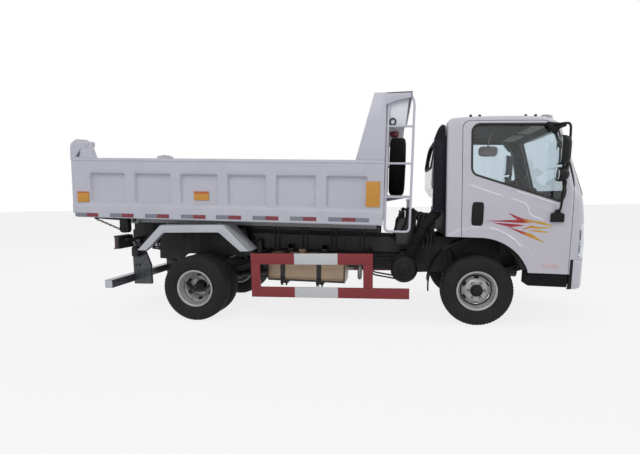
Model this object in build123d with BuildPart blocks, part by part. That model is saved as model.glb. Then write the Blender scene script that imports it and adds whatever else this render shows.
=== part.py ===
"""Light dump truck: ladder frame, tilting cab, tipping steel bed, twin rear wheels.

Frame: +X forward, +Z up, millimetres, origin on the ground in the middle of the length.
The right side is -Y.  Wheels and axles stand level.  The frame, cab and bed are drawn
level and then turned nose-down by `rake` about the front axle, as the truck stands empty.
"""
import os
from math import atan2, cos, degrees, hypot, radians, sin

from build123d import *

os.makedirs("parts", exist_ok=True)

# ---- driving dimensions -------------------------------------------------------------
wheelbase = 3300.0
front_axle_x = 1817.0
rear_axle_x = front_axle_x - wheelbase
rake = 2.0                      # degrees, nose down

# wheels
tyre_r, tyre_w = 398.0, 215.0
rim_r, rim_w = 205.0, 165.0
front_track = 1630.0
rear_track = 1546.0             # between the middles of the two pairs
dual_spacing = 250.0
wheel_z = tyre_r
king_pin_y = 640.0
steer_limit = 35.0
running_fit = 0.05              # a shaft in its bore, on the radius
clear = 6.0                     # between pieces that move past each other
seat_gap = 0.3                  # between faces that are bolted together

# chassis, in the level frame
rail_y, rail_h, rail_w, rail_t = 378.0, 180.0, 65.0, 7.0
rail_z = 740.0                  # underside of the rails
rail_top = rail_z + rail_h
rail_rear_x, rail_front_x = -2640.0, 2600.0
subframe_h = 100.0
subframe_top = rail_top + subframe_h

# hoist, in the level frame: base pin on the rails and eye under the bed, as (x, z)
hoist_base, hoist_eye, hoist_pin_r = (-900.0, 820.0), (550.0, 1050.0), 25.0

# bed, in the level frame
bed_rear_x, bed_front_x = -3020.0, 745.0
bed_half_w = 1018.0
side_t = 70.0
sill_z, ledge_z, panel_top_z, side_top_z = 1108.0, 1285.0, 1650.0, 1822.0
floor_top_z, floor_t = 1275.0, 8.0
panel_pitch, panel_w, panel_depth, panel_count = 578.0, 446.0, 48.0, 6
first_panel_x = -2778.0
hinge_x, hinge_z, hinge_pin_r = -2590.0, 1050.0, 25.0
bed_limit = 48.0
gate_pin_x, gate_pin_z, gate_pin_r = -2800.0, 1985.0, 18.0
gate_t = 60.0

# headboard
head_top_z, head_t = 2534.0, 60.0
canopy_tip_x, canopy_t = 1016.0, 12.0

# cab, in the level frame
cab_rear_x, cab_front_x = 1440.0, 2972.0
cab_half_w = 966.0
cab_wall = 45.0
roof_z = 2330.0
rear_lean = 38.0                    # the rear wall and the doors' rear edges lean back this far at the top
nose_bow = 50.0                     # the front's middle stands this far ahead of its corners
belt_z = 1430.0
cab_low_z, cab_floor_z, fascia_low_z = 640.0, 1005.0, 800.0
step_front_x = 2742.0
arch_x, arch_z, arch_r = 1812.0, 460.0, 545.0
tunnel_half_w = 500.0
bulge_x = 1290.0
cab_pivot_x, cab_pivot_z, cab_pivot_r = 2690.0, 720.0, 20.0
door_rear_x, door_front_x, door_top_z = 1603.0, 2734.0, 2262.0
door_t = 48.0
glass_t = 5.0


# ---- drawing helpers ----------------------------------------------------------------
def side_plane(y):
    """Upright plane along the truck at y; sketch x is X and sketch y is Z."""
    return Plane(origin=(0, y, 0), x_dir=(1, 0, 0), z_dir=(0, -1, 0))


def cross_plane(x):
    """Upright plane across the truck at x; sketch x is Y and sketch y is Z."""
    return Plane(origin=(x, 0, 0), x_dir=(0, 1, 0), z_dir=(1, 0, 0))


def slab(x, y, z, mode=Mode.ADD):
    """Box between the two ends given for each axis, added to the piece being built."""
    size = (x[1] - x[0], y[1] - y[0], z[1] - z[0])
    with Locations((sum(x) / 2, sum(y) / 2, sum(z) / 2)):
        Box(*size, mode=mode)


def bar(start, end, r, mode=Mode.ADD):
    """Round bar from start to end, added to the piece being built."""
    start, end = Vector(*start), Vector(*end)
    with Locations(Plane(origin=start, z_dir=end - start)):
        Cylinder(r, (end - start).length, align=(Align.CENTER, Align.CENTER, Align.MIN), mode=mode)


def plate(points, y, mode=Mode.ADD):
    """Flat plate with the outline of points (x, z), between the two ends of y."""
    with BuildSketch(side_plane(y[1])) as face:
        with BuildLine():
            Polyline(*points, close=True)
        make_face()
    extrude(face.sketch, amount=y[1] - y[0], mode=mode)


def sprung(part):
    """The part turned from the level drawing to the stance of the truck."""
    return part.rotate(Axis((front_axle_x, 0, wheel_z), (0, 1, 0)), rake)


def level(x, z):
    """Place in the level drawing of a point that is given in the truck's stance."""
    dx, dz = x - front_axle_x, z - wheel_z
    c, s = cos(radians(rake)), sin(radians(rake))
    return front_axle_x + dx * c - dz * s, wheel_z + dx * s + dz * c


def save(part, name, on_springs=True):
    """Label a finished piece and write its STEP file."""
    if on_springs:
        part = sprung(part)
    part.label = name
    export_step(part, f"parts/{name}.step")


def both_sides(part):
    """The piece and its mirror image across the middle of the truck."""
    return part + mirror(part, about=Plane.XZ)


# ---- chassis ------------------------------------------------------------------------
with BuildPart() as rails:
    for side in (-1, 1):
        y = sorted((side * rail_y, side * (rail_y - rail_w)))
        slab((rail_rear_x, rail_front_x), y, (rail_z, rail_top))
        hollow = sorted((side * (rail_y - rail_t), side * (rail_y - rail_w)))
        slab((rail_rear_x, rail_front_x), hollow, (rail_z + rail_t, rail_top - rail_t), Mode.SUBTRACT)
    # cross-members: x, half length along X
    for x, half in ((rail_rear_x + 40, 40), (-1900, 35), (-1050, 35), (300, 35), (1150, 35), (2540, 50)):
        slab((x - half, x + half), (-rail_y + rail_t, rail_y - rail_t), (rail_z + 35, rail_top - 35))
        slab((x - half + rail_t, x + half - rail_t), (-rail_y + 70, rail_y - 70),
             (rail_z + 35, rail_top - 35 - rail_t), Mode.SUBTRACT)
    # ears that carry the cab's tilt pin
    for side in (-1, 1):
        y = sorted((side * (rail_y - 30), side * (rail_y + 2)))
        plate(((rail_front_x - 90, rail_z), (rail_front_x - 90, rail_top - 40), (rail_front_x, rail_top - 40),
               (cab_pivot_x + 40, cab_pivot_z + 40), (cab_pivot_x + 40, cab_pivot_z - 45),
               (cab_pivot_x - 40, cab_pivot_z - 45)), y)
    bar((cab_pivot_x, -rail_y - 60, cab_pivot_z), (cab_pivot_x, rail_y + 60, cab_pivot_z), cab_pivot_r)
    bar((hoist_base[0], -rail_y + 1, hoist_base[1]), (hoist_base[0], rail_y - 1, hoist_base[1]), hoist_pin_r)
save(rails.part, "chassis_rails")

with BuildPart() as subframe:
    for side in (-1, 1):
        y = sorted((side * (rail_y - 5), side * (rail_y - rail_w)))
        slab((rail_rear_x + 20, 700), y, (rail_top, subframe_top - 3))
        # rear hinge ears stand between the bed's own ears
        y = sorted((side * (rail_y - rail_w - 15), side * (rail_y - rail_w - 45)))
        plate(((hinge_x - 40, rail_top + 1), (hinge_x - 40, hinge_z + 40), (hinge_x + 45, hinge_z + 40),
               (hinge_x + 190, rail_top + 1)), y)
    for x in (hinge_x + 120, 640):
        slab((x - 30, x + 30), (-rail_y + 40, rail_y - 40), (rail_top + 10, subframe_top - 15))
    bar((hinge_x, -rail_y - 50, hinge_z), (hinge_x, rail_y + 50, hinge_z), hinge_pin_r)
save(subframe.part, "tipper_subframe")

engine_x, engine_y, engine_z = (1620.0, 2400.0), (-270.0, 270.0), (470.0, 950.0)
with BuildPart() as engine:
    slab(engine_x, engine_y, engine_z)
    chamfer(engine.edges().filter_by(Axis.X), 40)
    mount_y = rail_y - rail_t - seat_gap
    slab((1850, 1950), (-mount_y, mount_y), (rail_z + 40, rail_z + 110))
save(engine.part, "engine")

shaft_front = (1180.0, 640.0)
rear_x, rear_z = level(rear_axle_x, wheel_z)
with BuildPart() as driveline:
    slab((engine_x[0] - 420, engine_x[0] - seat_gap), (-150, 150), (520, 800))
    chamfer(driveline.edges().filter_by(Axis.X), 45)
    bar((engine_x[0] - 425, 0, shaft_front[1]), (rear_x + 240, 0, rear_z + 20), 45)
save(driveline.part, "driveline")

spring_front_y, spring_rear_y, spring_w, spring_h = 345.0, 430.0, 70.0, 80.0
beam_h = 75.0
spring_seat = 30.0


def leaf_pack(x, seat_z, half_span, rise, eye_r=28):
    """Sickle of leaves along X: deepest on its seat and rising to an eye at each end."""
    with BuildLine() as outline:
        low = ThreePointArc((x - half_span, seat_z + rise), (x, seat_z), (x + half_span, seat_z + rise))
        Line(low @ 1, (x + half_span, seat_z + rise + spring_h / 3))
        ThreePointArc((x + half_span, seat_z + rise + spring_h / 3), (x, seat_z + spring_h),
                      (x - half_span, seat_z + rise + spring_h / 3))
        Line((x - half_span, seat_z + rise + spring_h / 3), low @ 0)
    make_face(outline.edges())
    for end in (-1, 1):
        with Locations((x + end * half_span, seat_z + rise + eye_r)):
            Circle(eye_r)


with BuildPart() as springs:
    with BuildSketch(side_plane(spring_front_y + spring_w / 2)):
        leaf_pack(front_axle_x, wheel_z + beam_h / 2 + spring_seat + 1.3, 600, 110)
    extrude(amount=spring_w)
    with BuildSketch(side_plane(spring_rear_y + spring_w / 2)):
        leaf_pack(rear_x, rear_z + 85, 650, 190)
    extrude(amount=spring_w)
    # hangers from the rails down to the eyes: x, eye z
    for x, eye_z in ((front_axle_x - 600, wheel_z + 210), (front_axle_x + 600, wheel_z + 210)):
        slab((x - 25, x + 25), (spring_front_y - 30, spring_front_y + 30), (eye_z + 20, rail_z - seat_gap))
    for x in (rear_x - 650, rear_x + 650):
        slab((x - 25, x + 25), (rail_y + seat_gap, spring_rear_y + 35), (rear_z + 310, rail_z + 100))
save(both_sides(springs.part), "leaf_springs")

# ---- axles and wheels, which stand level --------------------------------------------
knuckle_h = 96.0
with BuildPart() as front_axle:
    slab((front_axle_x - 35, front_axle_x + 35), (-king_pin_y + 45, king_pin_y - 45),
         (wheel_z - beam_h / 2, wheel_z + beam_h / 2))
    slab((front_axle_x - 55, front_axle_x + 55), (-king_pin_y + 190, king_pin_y - 190),
         (wheel_z - beam_h / 2, wheel_z + beam_h / 2 + spring_seat))
    slab((front_axle_x - 60, front_axle_x + 60), (-spring_front_y + 60, spring_front_y - 60),
         (wheel_z + beam_h / 2, wheel_z + beam_h / 2 + spring_seat + 5), Mode.SUBTRACT)
    for side in (-1, 1):
        bar((front_axle_x, side * king_pin_y, wheel_z - beam_h / 2),
            (front_axle_x, side * king_pin_y, wheel_z + beam_h / 2), 38)
        slab((front_axle_x - 35, front_axle_x + 35), sorted((side * (king_pin_y - 60), side * king_pin_y)),
             (wheel_z - beam_h / 2, wheel_z + beam_h / 2))
        bar((front_axle_x, side * king_pin_y, wheel_z - beam_h),
            (front_axle_x, side * king_pin_y, wheel_z + beam_h), 18 + running_fit, Mode.SUBTRACT)
save(front_axle.part, "front_axle_beam", on_springs=False)

hub_bore_r, hub_r, drum_r = 32.0, 72.0, 160.0
with BuildPart() as rear_axle:
    bar((rear_axle_x, -rear_track / 2 + 215, wheel_z), (rear_axle_x, rear_track / 2 - 215, wheel_z), 62)
    bar((rear_axle_x, -rear_track / 2 - 60, wheel_z), (rear_axle_x, rear_track / 2 + 60, wheel_z),
        hub_bore_r)
    with Locations((rear_axle_x, 0, wheel_z)):
        Sphere(165)
    bar((rear_axle_x, 0, wheel_z + 15), (rear_axle_x + 235, 0, wheel_z + 15), 70)
    for side in (-1, 1):
        slab((rear_axle_x - 60, rear_axle_x + 60), sorted((side * 390, side * 470)), (wheel_z - 70, wheel_z + 84))
save(rear_axle.part, "rear_axle", on_springs=False)


def wheel_place(x, y, side):
    """Location of a wheel drawn with its outer side towards +Y."""
    return Location((x, y, wheel_z), (0, 0, 0 if side > 0 else 180))


def tyre_section(lateral):
    """Half section of a tyre: x is the radius and y is across the tread."""
    w, crown = tyre_w / 2, 8.0
    with BuildLine() as outline:
        Polyline((rim_r, lateral - rim_w / 2 + 14), (rim_r + 8, lateral - rim_w / 2 + 7),
                 (rim_r + 40, lateral - rim_w / 2 + 2))
        ThreePointArc((rim_r + 40, lateral - rim_w / 2 + 2), (rim_r + 105, lateral - w),
                      (tyre_r - 30, lateral - w + 12))
        Line((tyre_r - 30, lateral - w + 12), (tyre_r - crown, lateral - w + 26))
        ThreePointArc((tyre_r - crown, lateral - w + 26), (tyre_r, lateral), (tyre_r - crown, lateral + w - 26))
        Line((tyre_r - crown, lateral + w - 26), (tyre_r - 30, lateral + w - 12))
        ThreePointArc((tyre_r - 30, lateral + w - 12), (rim_r + 105, lateral + w),
                      (rim_r + 40, lateral + rim_w / 2 - 2))
        Polyline((rim_r + 40, lateral + rim_w / 2 - 2), (rim_r + 8, lateral + rim_w / 2 - 7),
                 (rim_r, lateral + rim_w / 2 - 14), (rim_r, lateral - rim_w / 2 + 14))
    make_face(outline.edges())


def rim_section(lateral, disc_y, disc_t=10.0):
    """Half section of a steel rim with its disc; x is the radius and y is across."""
    edge, t = rim_w / 2, 8.0
    with BuildLine() as outline:
        Polyline((rim_r - seat_gap, lateral - edge + 10), (rim_r + 18, lateral - edge - 2),
                 (rim_r + 18, lateral - edge - 8), (rim_r + 4, lateral - edge - 8),
                 (rim_r - t, lateral - edge + 4), (rim_r - t - 22, lateral - 25), (rim_r - t - 22, lateral + 25),
                 (rim_r - t, lateral + edge - 4), (rim_r + 4, lateral + edge + 8),
                 (rim_r + 18, lateral + edge + 8), (rim_r + 18, lateral + edge + 2),
                 (rim_r - seat_gap, lateral + edge - 10), (rim_r - seat_gap, lateral + edge - 24),
                 (rim_r - 20, lateral + 21), (rim_r - 20, lateral - 21),
                 (rim_r - seat_gap, lateral - edge + 24), close=True)
    make_face(outline.edges())
    with BuildLine() as outline:
        lean = 9 if lateral > disc_y else 1
        Polyline((hub_r - 2, disc_y), (rim_r - 60, disc_y), (rim_r - t - 20 - lean, lateral + 10),
                 (rim_r - t - 20, lateral + 10), (rim_r - t - 20, lateral - 8),
                 (rim_r - 66 + 2 * lean, disc_y - disc_t), (hub_r - 2, disc_y - disc_t), close=True)
    make_face(outline.edges())


hand_hole_r, hand_hole_pcd, hand_holes = 22.0, 265.0, 6
with BuildPart() as front_tyre:
    with BuildSketch(Plane.XY):
        tyre_section(0)
    revolve(axis=Axis.Y)

front_disc_y = 62.0
with BuildPart() as front_rim:
    with BuildSketch(Plane.XY):
        rim_section(0, front_disc_y)
        with BuildLine():               # hub, brake drum and cap as one turned casting
            Polyline((hub_bore_r + running_fit, -100), (drum_r, -100), (drum_r, -12), (hub_r, 0),
                     (hub_r, front_disc_y + 22), (hub_r - 14, front_disc_y + 36), (0, front_disc_y + 36),
                     (0, front_disc_y - 8), (hub_bore_r + running_fit, front_disc_y - 8), close=True)
        make_face()
    revolve(axis=Axis.Y)
    with BuildSketch(Plane((0, front_disc_y + 40, 0), x_dir=(1, 0, 0), z_dir=(0, 1, 0))):
        with PolarLocations(hand_hole_pcd / 2, hand_holes):
            Circle(hand_hole_r)
    extrude(amount=-85, mode=Mode.SUBTRACT)

with BuildPart() as rear_tyres:
    for lateral in (-dual_spacing / 2, dual_spacing / 2):
        with BuildSketch(Plane.XY):
            tyre_section(lateral)
        revolve(axis=Axis.Y)

with BuildPart() as rear_rims:
    with BuildSketch(Plane.XY):
        rim_section(dual_spacing / 2, 8)
        rim_section(-dual_spacing / 2, -2)
        with BuildLine():
            Polyline((hub_bore_r + running_fit, -150), (drum_r, -150), (drum_r, -40), (hub_r, -12),
                     (hub_r, 70), (hub_r - 14, 84), (0, 84), (0, 64), (hub_bore_r + running_fit, 64), close=True)
        make_face()
    revolve(axis=Axis.Y)
    with BuildSketch(Plane((0, 60, 0), x_dir=(1, 0, 0), z_dir=(0, 1, 0))):
        with PolarLocations(hand_hole_pcd / 2, hand_holes):
            Circle(hand_hole_r)
    extrude(amount=-120, mode=Mode.SUBTRACT)

for side, name in ((-1, "right"), (1, "left")):
    front = wheel_place(front_axle_x, side * front_track / 2, side)
    save(front_tyre.part.moved(front), f"tyre_front_{name}", on_springs=False)
    save(front_rim.part.moved(front), f"rim_front_{name}", on_springs=False)
    rear = wheel_place(rear_axle_x, side * rear_track / 2, side)
    save(rear_tyres.part.moved(rear), f"tyres_rear_{name}", on_springs=False)
    save(rear_rims.part.moved(rear), f"rims_rear_{name}", on_springs=False)

# knuckle, drawn for the left side: yoke round the beam's eye, stub axle and steering arm
arm_back, arm_in = 165.0, 40.0
hub_back_y = front_track / 2 - 100
with BuildPart() as knuckle:
    for z in (wheel_z - knuckle_h / 2 - 14, wheel_z + knuckle_h / 2 - 6):
        bar((front_axle_x, king_pin_y, z), (front_axle_x, king_pin_y, z + 20), 36)
        slab((front_axle_x - 34, front_axle_x + 34), (king_pin_y, hub_back_y - 8), (z, z + 20))
    slab((front_axle_x - 34, front_axle_x + 34), (king_pin_y + 38 + clear, hub_back_y - 8),
         (wheel_z - knuckle_h / 2 - 14, wheel_z + knuckle_h / 2 + 14))
    bar((front_axle_x, king_pin_y, wheel_z - knuckle_h / 2), (front_axle_x, king_pin_y, wheel_z + knuckle_h / 2),
        18)
    bar((front_axle_x, hub_back_y - 12, wheel_z), (front_axle_x, front_track / 2 + front_disc_y - 12, wheel_z),
        hub_bore_r)
    bar((front_axle_x, hub_back_y - 12, wheel_z), (front_axle_x, hub_back_y - clear, wheel_z), 150)
    with BuildSketch(Plane.XY.offset(wheel_z - knuckle_h / 2 - 14)):
        with BuildLine():
            Polyline((front_axle_x + 20, king_pin_y + 20), (front_axle_x - arm_back, king_pin_y - arm_in + 20),
                     (front_axle_x - arm_back, king_pin_y - arm_in - 20), (front_axle_x + 20, king_pin_y - 25),
                     close=True)
        make_face()
        with Locations((front_axle_x - arm_back, king_pin_y - arm_in)):
            Circle(26)
    extrude(amount=20)
save(knuckle.part, "knuckle_left", on_springs=False)
save(mirror(knuckle.part, about=Plane.XZ), "knuckle_right", on_springs=False)

tie_rod_r = 16.0
with BuildPart() as tie_rod:
    x, y = front_axle_x - arm_back, king_pin_y - arm_in
    z = wheel_z - knuckle_h / 2 - 14 - 0.8
    bar((x, -y, z - 26), (x, y, z - 26), tie_rod_r)
    for side in (-1, 1):
        bar((x, side * y, z - 46), (x, side * y, z), 22)
save(tie_rod.part, "tie_rod", on_springs=False)

# ---- what hangs on the chassis ------------------------------------------------------
guard_x, guard_mid_x, guard_y = (-765.0, 660.0), 0.0, 1000.0
guard_foot_x = 1068.0
guard_low, guard_high = (312.0, 432.0), (700.0, 828.0)
guard_post, guard_t = 108.0, 34.0
with BuildPart() as guard:
    slab(guard_x, (guard_y - guard_t, guard_y), guard_high)
    slab((guard_x[0], guard_foot_x), (guard_y - guard_t, guard_y), guard_low)
    for x in (guard_x[0], guard_x[1] - guard_post):
        slab((x, x + guard_post), (guard_y - guard_t, guard_y), (guard_low[0], guard_high[1]))
        slab((x + 30, x + 70), (rail_y + seat_gap, guard_y - guard_t), (guard_high[0] + 70, guard_high[0] + 115))
        slab((x + 30, x + 70), (rail_y + seat_gap, rail_y + 12), (guard_high[0] + 70, 930))
save(both_sides(guard.part), "side_guards", on_springs=False)

fender_x, fender_top, fender_tip = rear_axle_x, 1172.0, 865.0
fender_y, fender_band = (700.0, 1016.0), 8.0
with BuildPart() as fender:
    outline = ((fender_x - 700, fender_tip), (fender_x - 385, fender_top), (fender_x + 415, fender_top),
               (fender_x + 715, fender_tip - 10))
    inner = ((fender_x + 715 - 10, fender_tip - 10), (fender_x + 410, fender_top - fender_band),
             (fender_x - 380, fender_top - fender_band), (fender_x - 700 + 10, fender_tip))
    plate((*outline, *inner), fender_y)
    # turned-down outer lip
    lip = ((fender_x + 715 - 105, fender_tip - 10), (fender_x + 350, fender_top - 88),
           (fender_x - 355, fender_top - 88), (fender_x - 700 + 105, fender_tip))
    plate((*outline, *lip), (fender_y[1] - fender_band, fender_y[1]))
    for x in (fender_x - 330, fender_x + 330):
        bar((x, rail_y + 12, fender_top - 40), (x, fender_y[1] - 30, fender_top - 40), 18)
        slab((x - 25, x + 25), (rail_y + seat_gap, rail_y + 14), (fender_top - 220, fender_top - 15))
        slab((x - 15, x + 15), (fender_y[0] + 20, fender_y[1] - 60), (fender_top - 42, fender_top - 4))
save(both_sides(fender.part), "rear_fenders", on_springs=False)

under_x, under_z, under_y = (-2690.0, -2590.0), (380.0, 480.0), 940.0
with BuildPart() as underride:
    slab(under_x, (-under_y, under_y), under_z)
    for side in (-1, 1):
        y = sorted((side * 415, side * 455))
        plate(((under_x[1] - 10, 340), (under_x[1] - 10, 900), (under_x[1] + 130, 900), (under_x[1] + 240, 600),
               (under_x[1] + 240, 340)), y)
        slab((under_x[1] + 20, under_x[1] + 80), sorted((side * (rail_y + seat_gap), side * 420)), (840, 960))
save(underride.part, "underride_bar", on_springs=False)

lamp_x, lamp_y, lamp_z = (-2585.0, -2525.0), (560.0, 880.0), (712.0, 872.0)
with BuildPart() as lamps:
    slab(lamp_x, lamp_y, lamp_z)
    fillet(lamps.edges().filter_by(Axis.X), 15)
    slab((lamp_x[1], lamp_x[1] + 40), (rail_y + seat_gap, 760), (800, 835))
save(both_sides(lamps.part), "tail_lamps")

tank_x, tank_y, tank_z = (-620.0, 330.0), (470.0, 860.0), (400.0, 720.0)
strap_x, strap_w, strap_t = (-423.0, 14.0), 55.0, 5.0
with BuildPart() as tank:
    slab(tank_x, (-tank_y[1], -tank_y[0]), tank_z)
    fillet(tank.edges().filter_by(Axis.X), 60)
    for x in strap_x:
        with BuildSketch(cross_plane(x - strap_w / 2)):
            with Locations((-sum(tank_y) / 2, sum(tank_z) / 2)):
                RectangleRounded(tank_y[1] - tank_y[0] + 2 * strap_t, tank_z[1] - tank_z[0] + 2 * strap_t,
                                 60 + strap_t)
        extrude(amount=strap_w)
        slab((x - 30, x + 30), (-tank_y[0] + 4, -rail_y - seat_gap), (rail_z + 10, rail_z + 60))
        slab((x - 30, x + 30), (-tank_y[0] + 4, -tank_y[0] + 30), (tank_z[0] + 70, rail_z + 60))
save(tank.part, "fuel_tank")

with BuildPart() as left_boxes:
    slab((100, 560), (rail_y + 25, 820), (400, 670))
    fillet(left_boxes.edges().filter_by(Axis.Z), 20)
    slab((150, 500), (rail_y + seat_gap, rail_y + 25), (600, 800))
    bar((-640, 600, 560), (-60, 600, 560), 125)
    for x in (-520, -180):
        slab((x - 20, x + 20), (rail_y + seat_gap, 520), (640, 780))
save(left_boxes.part, "battery_and_air_tank")

drum_x, drum_z, cleaner_r = 1004.0, 600.0, 150.0
pipe_foot, pipe_mouth, pipe_r = Vector(drum_x + 40, -720, drum_z + 90), Vector(1200, -800, 1075), 56.0
with BuildPart() as cleaner:
    bar((drum_x, -880, drum_z), (drum_x, -560, drum_z), cleaner_r)
    chamfer(cleaner.edges().filter_by(GeomType.CIRCLE), 12)
    slab((drum_x - 40, drum_x + 40), (-600, -rail_y - seat_gap), (drum_z + 90, drum_z + 180))
    bar(pipe_foot, pipe_mouth, pipe_r)
save(cleaner.part, "air_cleaner")

with BuildPart() as exhaust:
    bar((450, 200, 620), (1050, 200, 620), 95)
    bar((1050, 200, 620), (1150, 200, 620), 35)
    bar((-500, 200, 620), (450, 200, 620), 35)
    for x in (500, 1000):
        slab((x - 12, x + 12), (200 - 15, 200 + 15), (700, rail_z + 45))
        slab((x - 12, x + 12), (185, rail_y - rail_w + 20), (rail_z - 12, rail_z - seat_gap))
save(exhaust.part, "exhaust")

with BuildPart() as tank_oil:
    slab((900, 1130), (-rail_y - 260, -rail_y - seat_gap), (rail_top - 60, 1290))
    fillet(tank_oil.edges().filter_by(Axis.Y), 35)
save(tank_oil.part, "hydraulic_oil_tank")

# ---- bed ----------------------------------------------------------------------------
inner_w = bed_half_w - side_t
with BuildPart() as bed_floor:
    slab((bed_rear_x + gate_t + clear + 20, bed_front_x - head_t - 1), (-inner_w + 1, inner_w - 1),
         (floor_top_z - floor_t, floor_top_z))
save(bed_floor.part, "bed_floor")

beam_top = floor_top_z - floor_t - seat_gap
with BuildPart() as underframe:
    for side in (-1, 1):
        y = sorted((side * (rail_y - 5), side * (rail_y - rail_w)))
        slab((hinge_x + 12, bed_front_x - head_t - 30), y, (subframe_top, beam_top))
        y = sorted((side * (rail_y + 8), side * (rail_y + 38)))
        plate(((hinge_x - 110, sill_z + 60), (hinge_x - 45, hinge_z - 45), (hinge_x + 45, hinge_z - 45),
               (hinge_x + 110, sill_z + 60)), y)
    beam_pitch = 425.0
    for i in range(9):
        x = bed_rear_x + 150 + i * beam_pitch
        slab((x - 25, x + 25), (-inner_w + 1, inner_w - 1), (beam_top - 95, beam_top))
    bar((hinge_x, -rail_y - 60, hinge_z), (hinge_x, rail_y + 60, hinge_z), hinge_pin_r + running_fit,
        Mode.SUBTRACT)
eye_r, eye_w = 52.0, 100.0
with BuildPart() as lugs:
    for side in (-1, 1):
        y = sorted((side * (eye_w / 2 + clear), side * (eye_w / 2 + clear + 16)))
        plate(((hoist_eye[0] - 55, hoist_eye[1] - 45), (hoist_eye[0] + 55, hoist_eye[1] - 45),
               (hoist_eye[0] + 90, beam_top - 1), (hoist_eye[0] - 90, beam_top - 1)), y)
save(underframe.part + lugs.part, "bed_underframe")

with BuildPart() as bed_side:
    slab((bed_rear_x, bed_front_x), (inner_w, bed_half_w), (sill_z + 48, side_top_z))
    slab((bed_rear_x + 45, bed_front_x), (inner_w, bed_half_w - 8), (sill_z, sill_z + 48))
    for i in range(panel_count):
        x = first_panel_x + i * panel_pitch + panel_w / 2
        with BuildSketch(Plane((x, bed_half_w, (ledge_z + panel_top_z) / 2), x_dir=(1, 0, 0), z_dir=(0, 1, 0))):
            Rectangle(panel_w, panel_top_z - ledge_z)
        extrude(amount=-panel_depth, taper=18, mode=Mode.SUBTRACT)
    # ear that carries the tailgate pin
    plate(((bed_rear_x, side_top_z), (bed_rear_x + 3, side_top_z + 158), (bed_rear_x + 80, side_top_z + 220),
           (bed_rear_x + 248, side_top_z + 208), (bed_rear_x + 323, side_top_z)), (inner_w, bed_half_w))
    plate(((bed_rear_x + 58, side_top_z + 8), (bed_rear_x + 156, side_top_z + 126),
           (bed_rear_x + 124, side_top_z + 8)), (inner_w - 1, bed_half_w + 1), Mode.SUBTRACT)
    bar((gate_pin_x, inner_w - 60, gate_pin_z), (gate_pin_x, bed_half_w + 12, gate_pin_z), gate_pin_r)
save(bed_side.part, "bed_side_left")
save(mirror(bed_side.part, about=Plane.XZ), "bed_side_right")

with BuildPart() as gate:
    gate_x = bed_rear_x + 6
    slab((gate_x, gate_x + gate_t), (-inner_w + clear + 2, inner_w - clear - 2), (sill_z + 70, side_top_z - 5))
    for i in range(3):
        y = (i - 1) * 610.0
        with BuildSketch(Plane((gate_x, y, (ledge_z + panel_top_z) / 2), x_dir=(0, 1, 0), z_dir=(-1, 0, 0))):
            Rectangle(500, panel_top_z - ledge_z)
        extrude(amount=-40, taper=18, mode=Mode.SUBTRACT)
    for side in (-1, 1):
        y = sorted((side * (inner_w - clear - 2), side * (inner_w - clear - 34)))
        plate(((gate_x, side_top_z - 60), (gate_x + 30, side_top_z + 40), (gate_pin_x - 30, gate_pin_z + 45),
               (gate_pin_x + 40, gate_pin_z + 45), (gate_pin_x + 40, gate_pin_z - 35),
               (gate_x + gate_t + 60, side_top_z + 10), (gate_x + gate_t, side_top_z - 60)), y)
    bar((gate_pin_x, -bed_half_w, gate_pin_z), (gate_pin_x, bed_half_w, gate_pin_z), gate_pin_r + running_fit,
        Mode.SUBTRACT)
save(gate.part, "tailgate")

gusset_low_x, gusset_high_x = 427.0, 612.0
with BuildPart() as headboard:
    slab((bed_front_x - head_t, bed_front_x), (-inner_w + 1, inner_w - 1), (sill_z + 40, head_top_z))
    for side in (-1, 1):
        y = sorted((side * bed_half_w, side * (bed_half_w - side_t)))
        plate(((gusset_low_x, side_top_z + 1), (gusset_high_x, head_top_z), (bed_front_x, head_top_z),
               (bed_front_x, side_top_z + 1)), y)
        y = sorted((side * bed_half_w, side * (bed_half_w - 12)))
        plate(((bed_front_x, head_top_z), (canopy_tip_x, head_top_z + 10), (canopy_tip_x, head_top_z - 50),
               (bed_front_x + 110, head_top_z - 75), (bed_front_x, head_top_z - 120)), y)
    plate(((bed_front_x, head_top_z - 0.5), (canopy_tip_x, head_top_z + 9.5), (canopy_tip_x, head_top_z - 50),
           (canopy_tip_x - canopy_t, head_top_z - 50), (canopy_tip_x - canopy_t, head_top_z - 4),
           (bed_front_x, head_top_z - canopy_t)), (-bed_half_w, bed_half_w))
    # plate that the spare wheel's hoist hangs from
    plate(((bed_front_x, head_top_z - 10), (canopy_tip_x - 40, head_top_z - 10), (canopy_tip_x - 85, 2310),
           (bed_front_x, 2310)), (330, 342))
save(headboard.part, "headboard")

spare_x, spare_y = (782.0, 997.0), 420.0
shelf_z, shelf_x = (1415.0, 1447.0), (bed_front_x + seat_gap, 1075.0)
with BuildPart() as shelf:
    slab(shelf_x, (spare_y - 330, spare_y + 330), shelf_z)
    for y in (spare_y - 310, spare_y + 270):
        plate(((shelf_x[0], shelf_z[0]), (shelf_x[1] - 20, shelf_z[0]), (shelf_x[0], shelf_z[0] - 230)),
              (y, y + 40))
save(shelf.part, "spare_carrier")

with BuildPart() as spare:
    with BuildSketch(Plane.XY):
        tyre_section(0)
        rim_section(0, front_disc_y)
    revolve(axis=Axis.Y)
spare_z = shelf_z[1] + tyre_r + seat_gap
spare_wheel = Location((sum(spare_x) / 2, spare_y, spare_z), (0, 0, 90)) * spare.part
save(spare_wheel, "spare_wheel")

with BuildPart() as chain_hoist:
    slab((775, 900), (336 - 60, 336 + 60), (2252, 2306))
    fillet(chain_hoist.edges().filter_by(Axis.Y), 25)
    bar((836, 336, 2300), (836, 336, 2309.5), 14)
save(chain_hoist.part, "chain_hoist")

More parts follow.
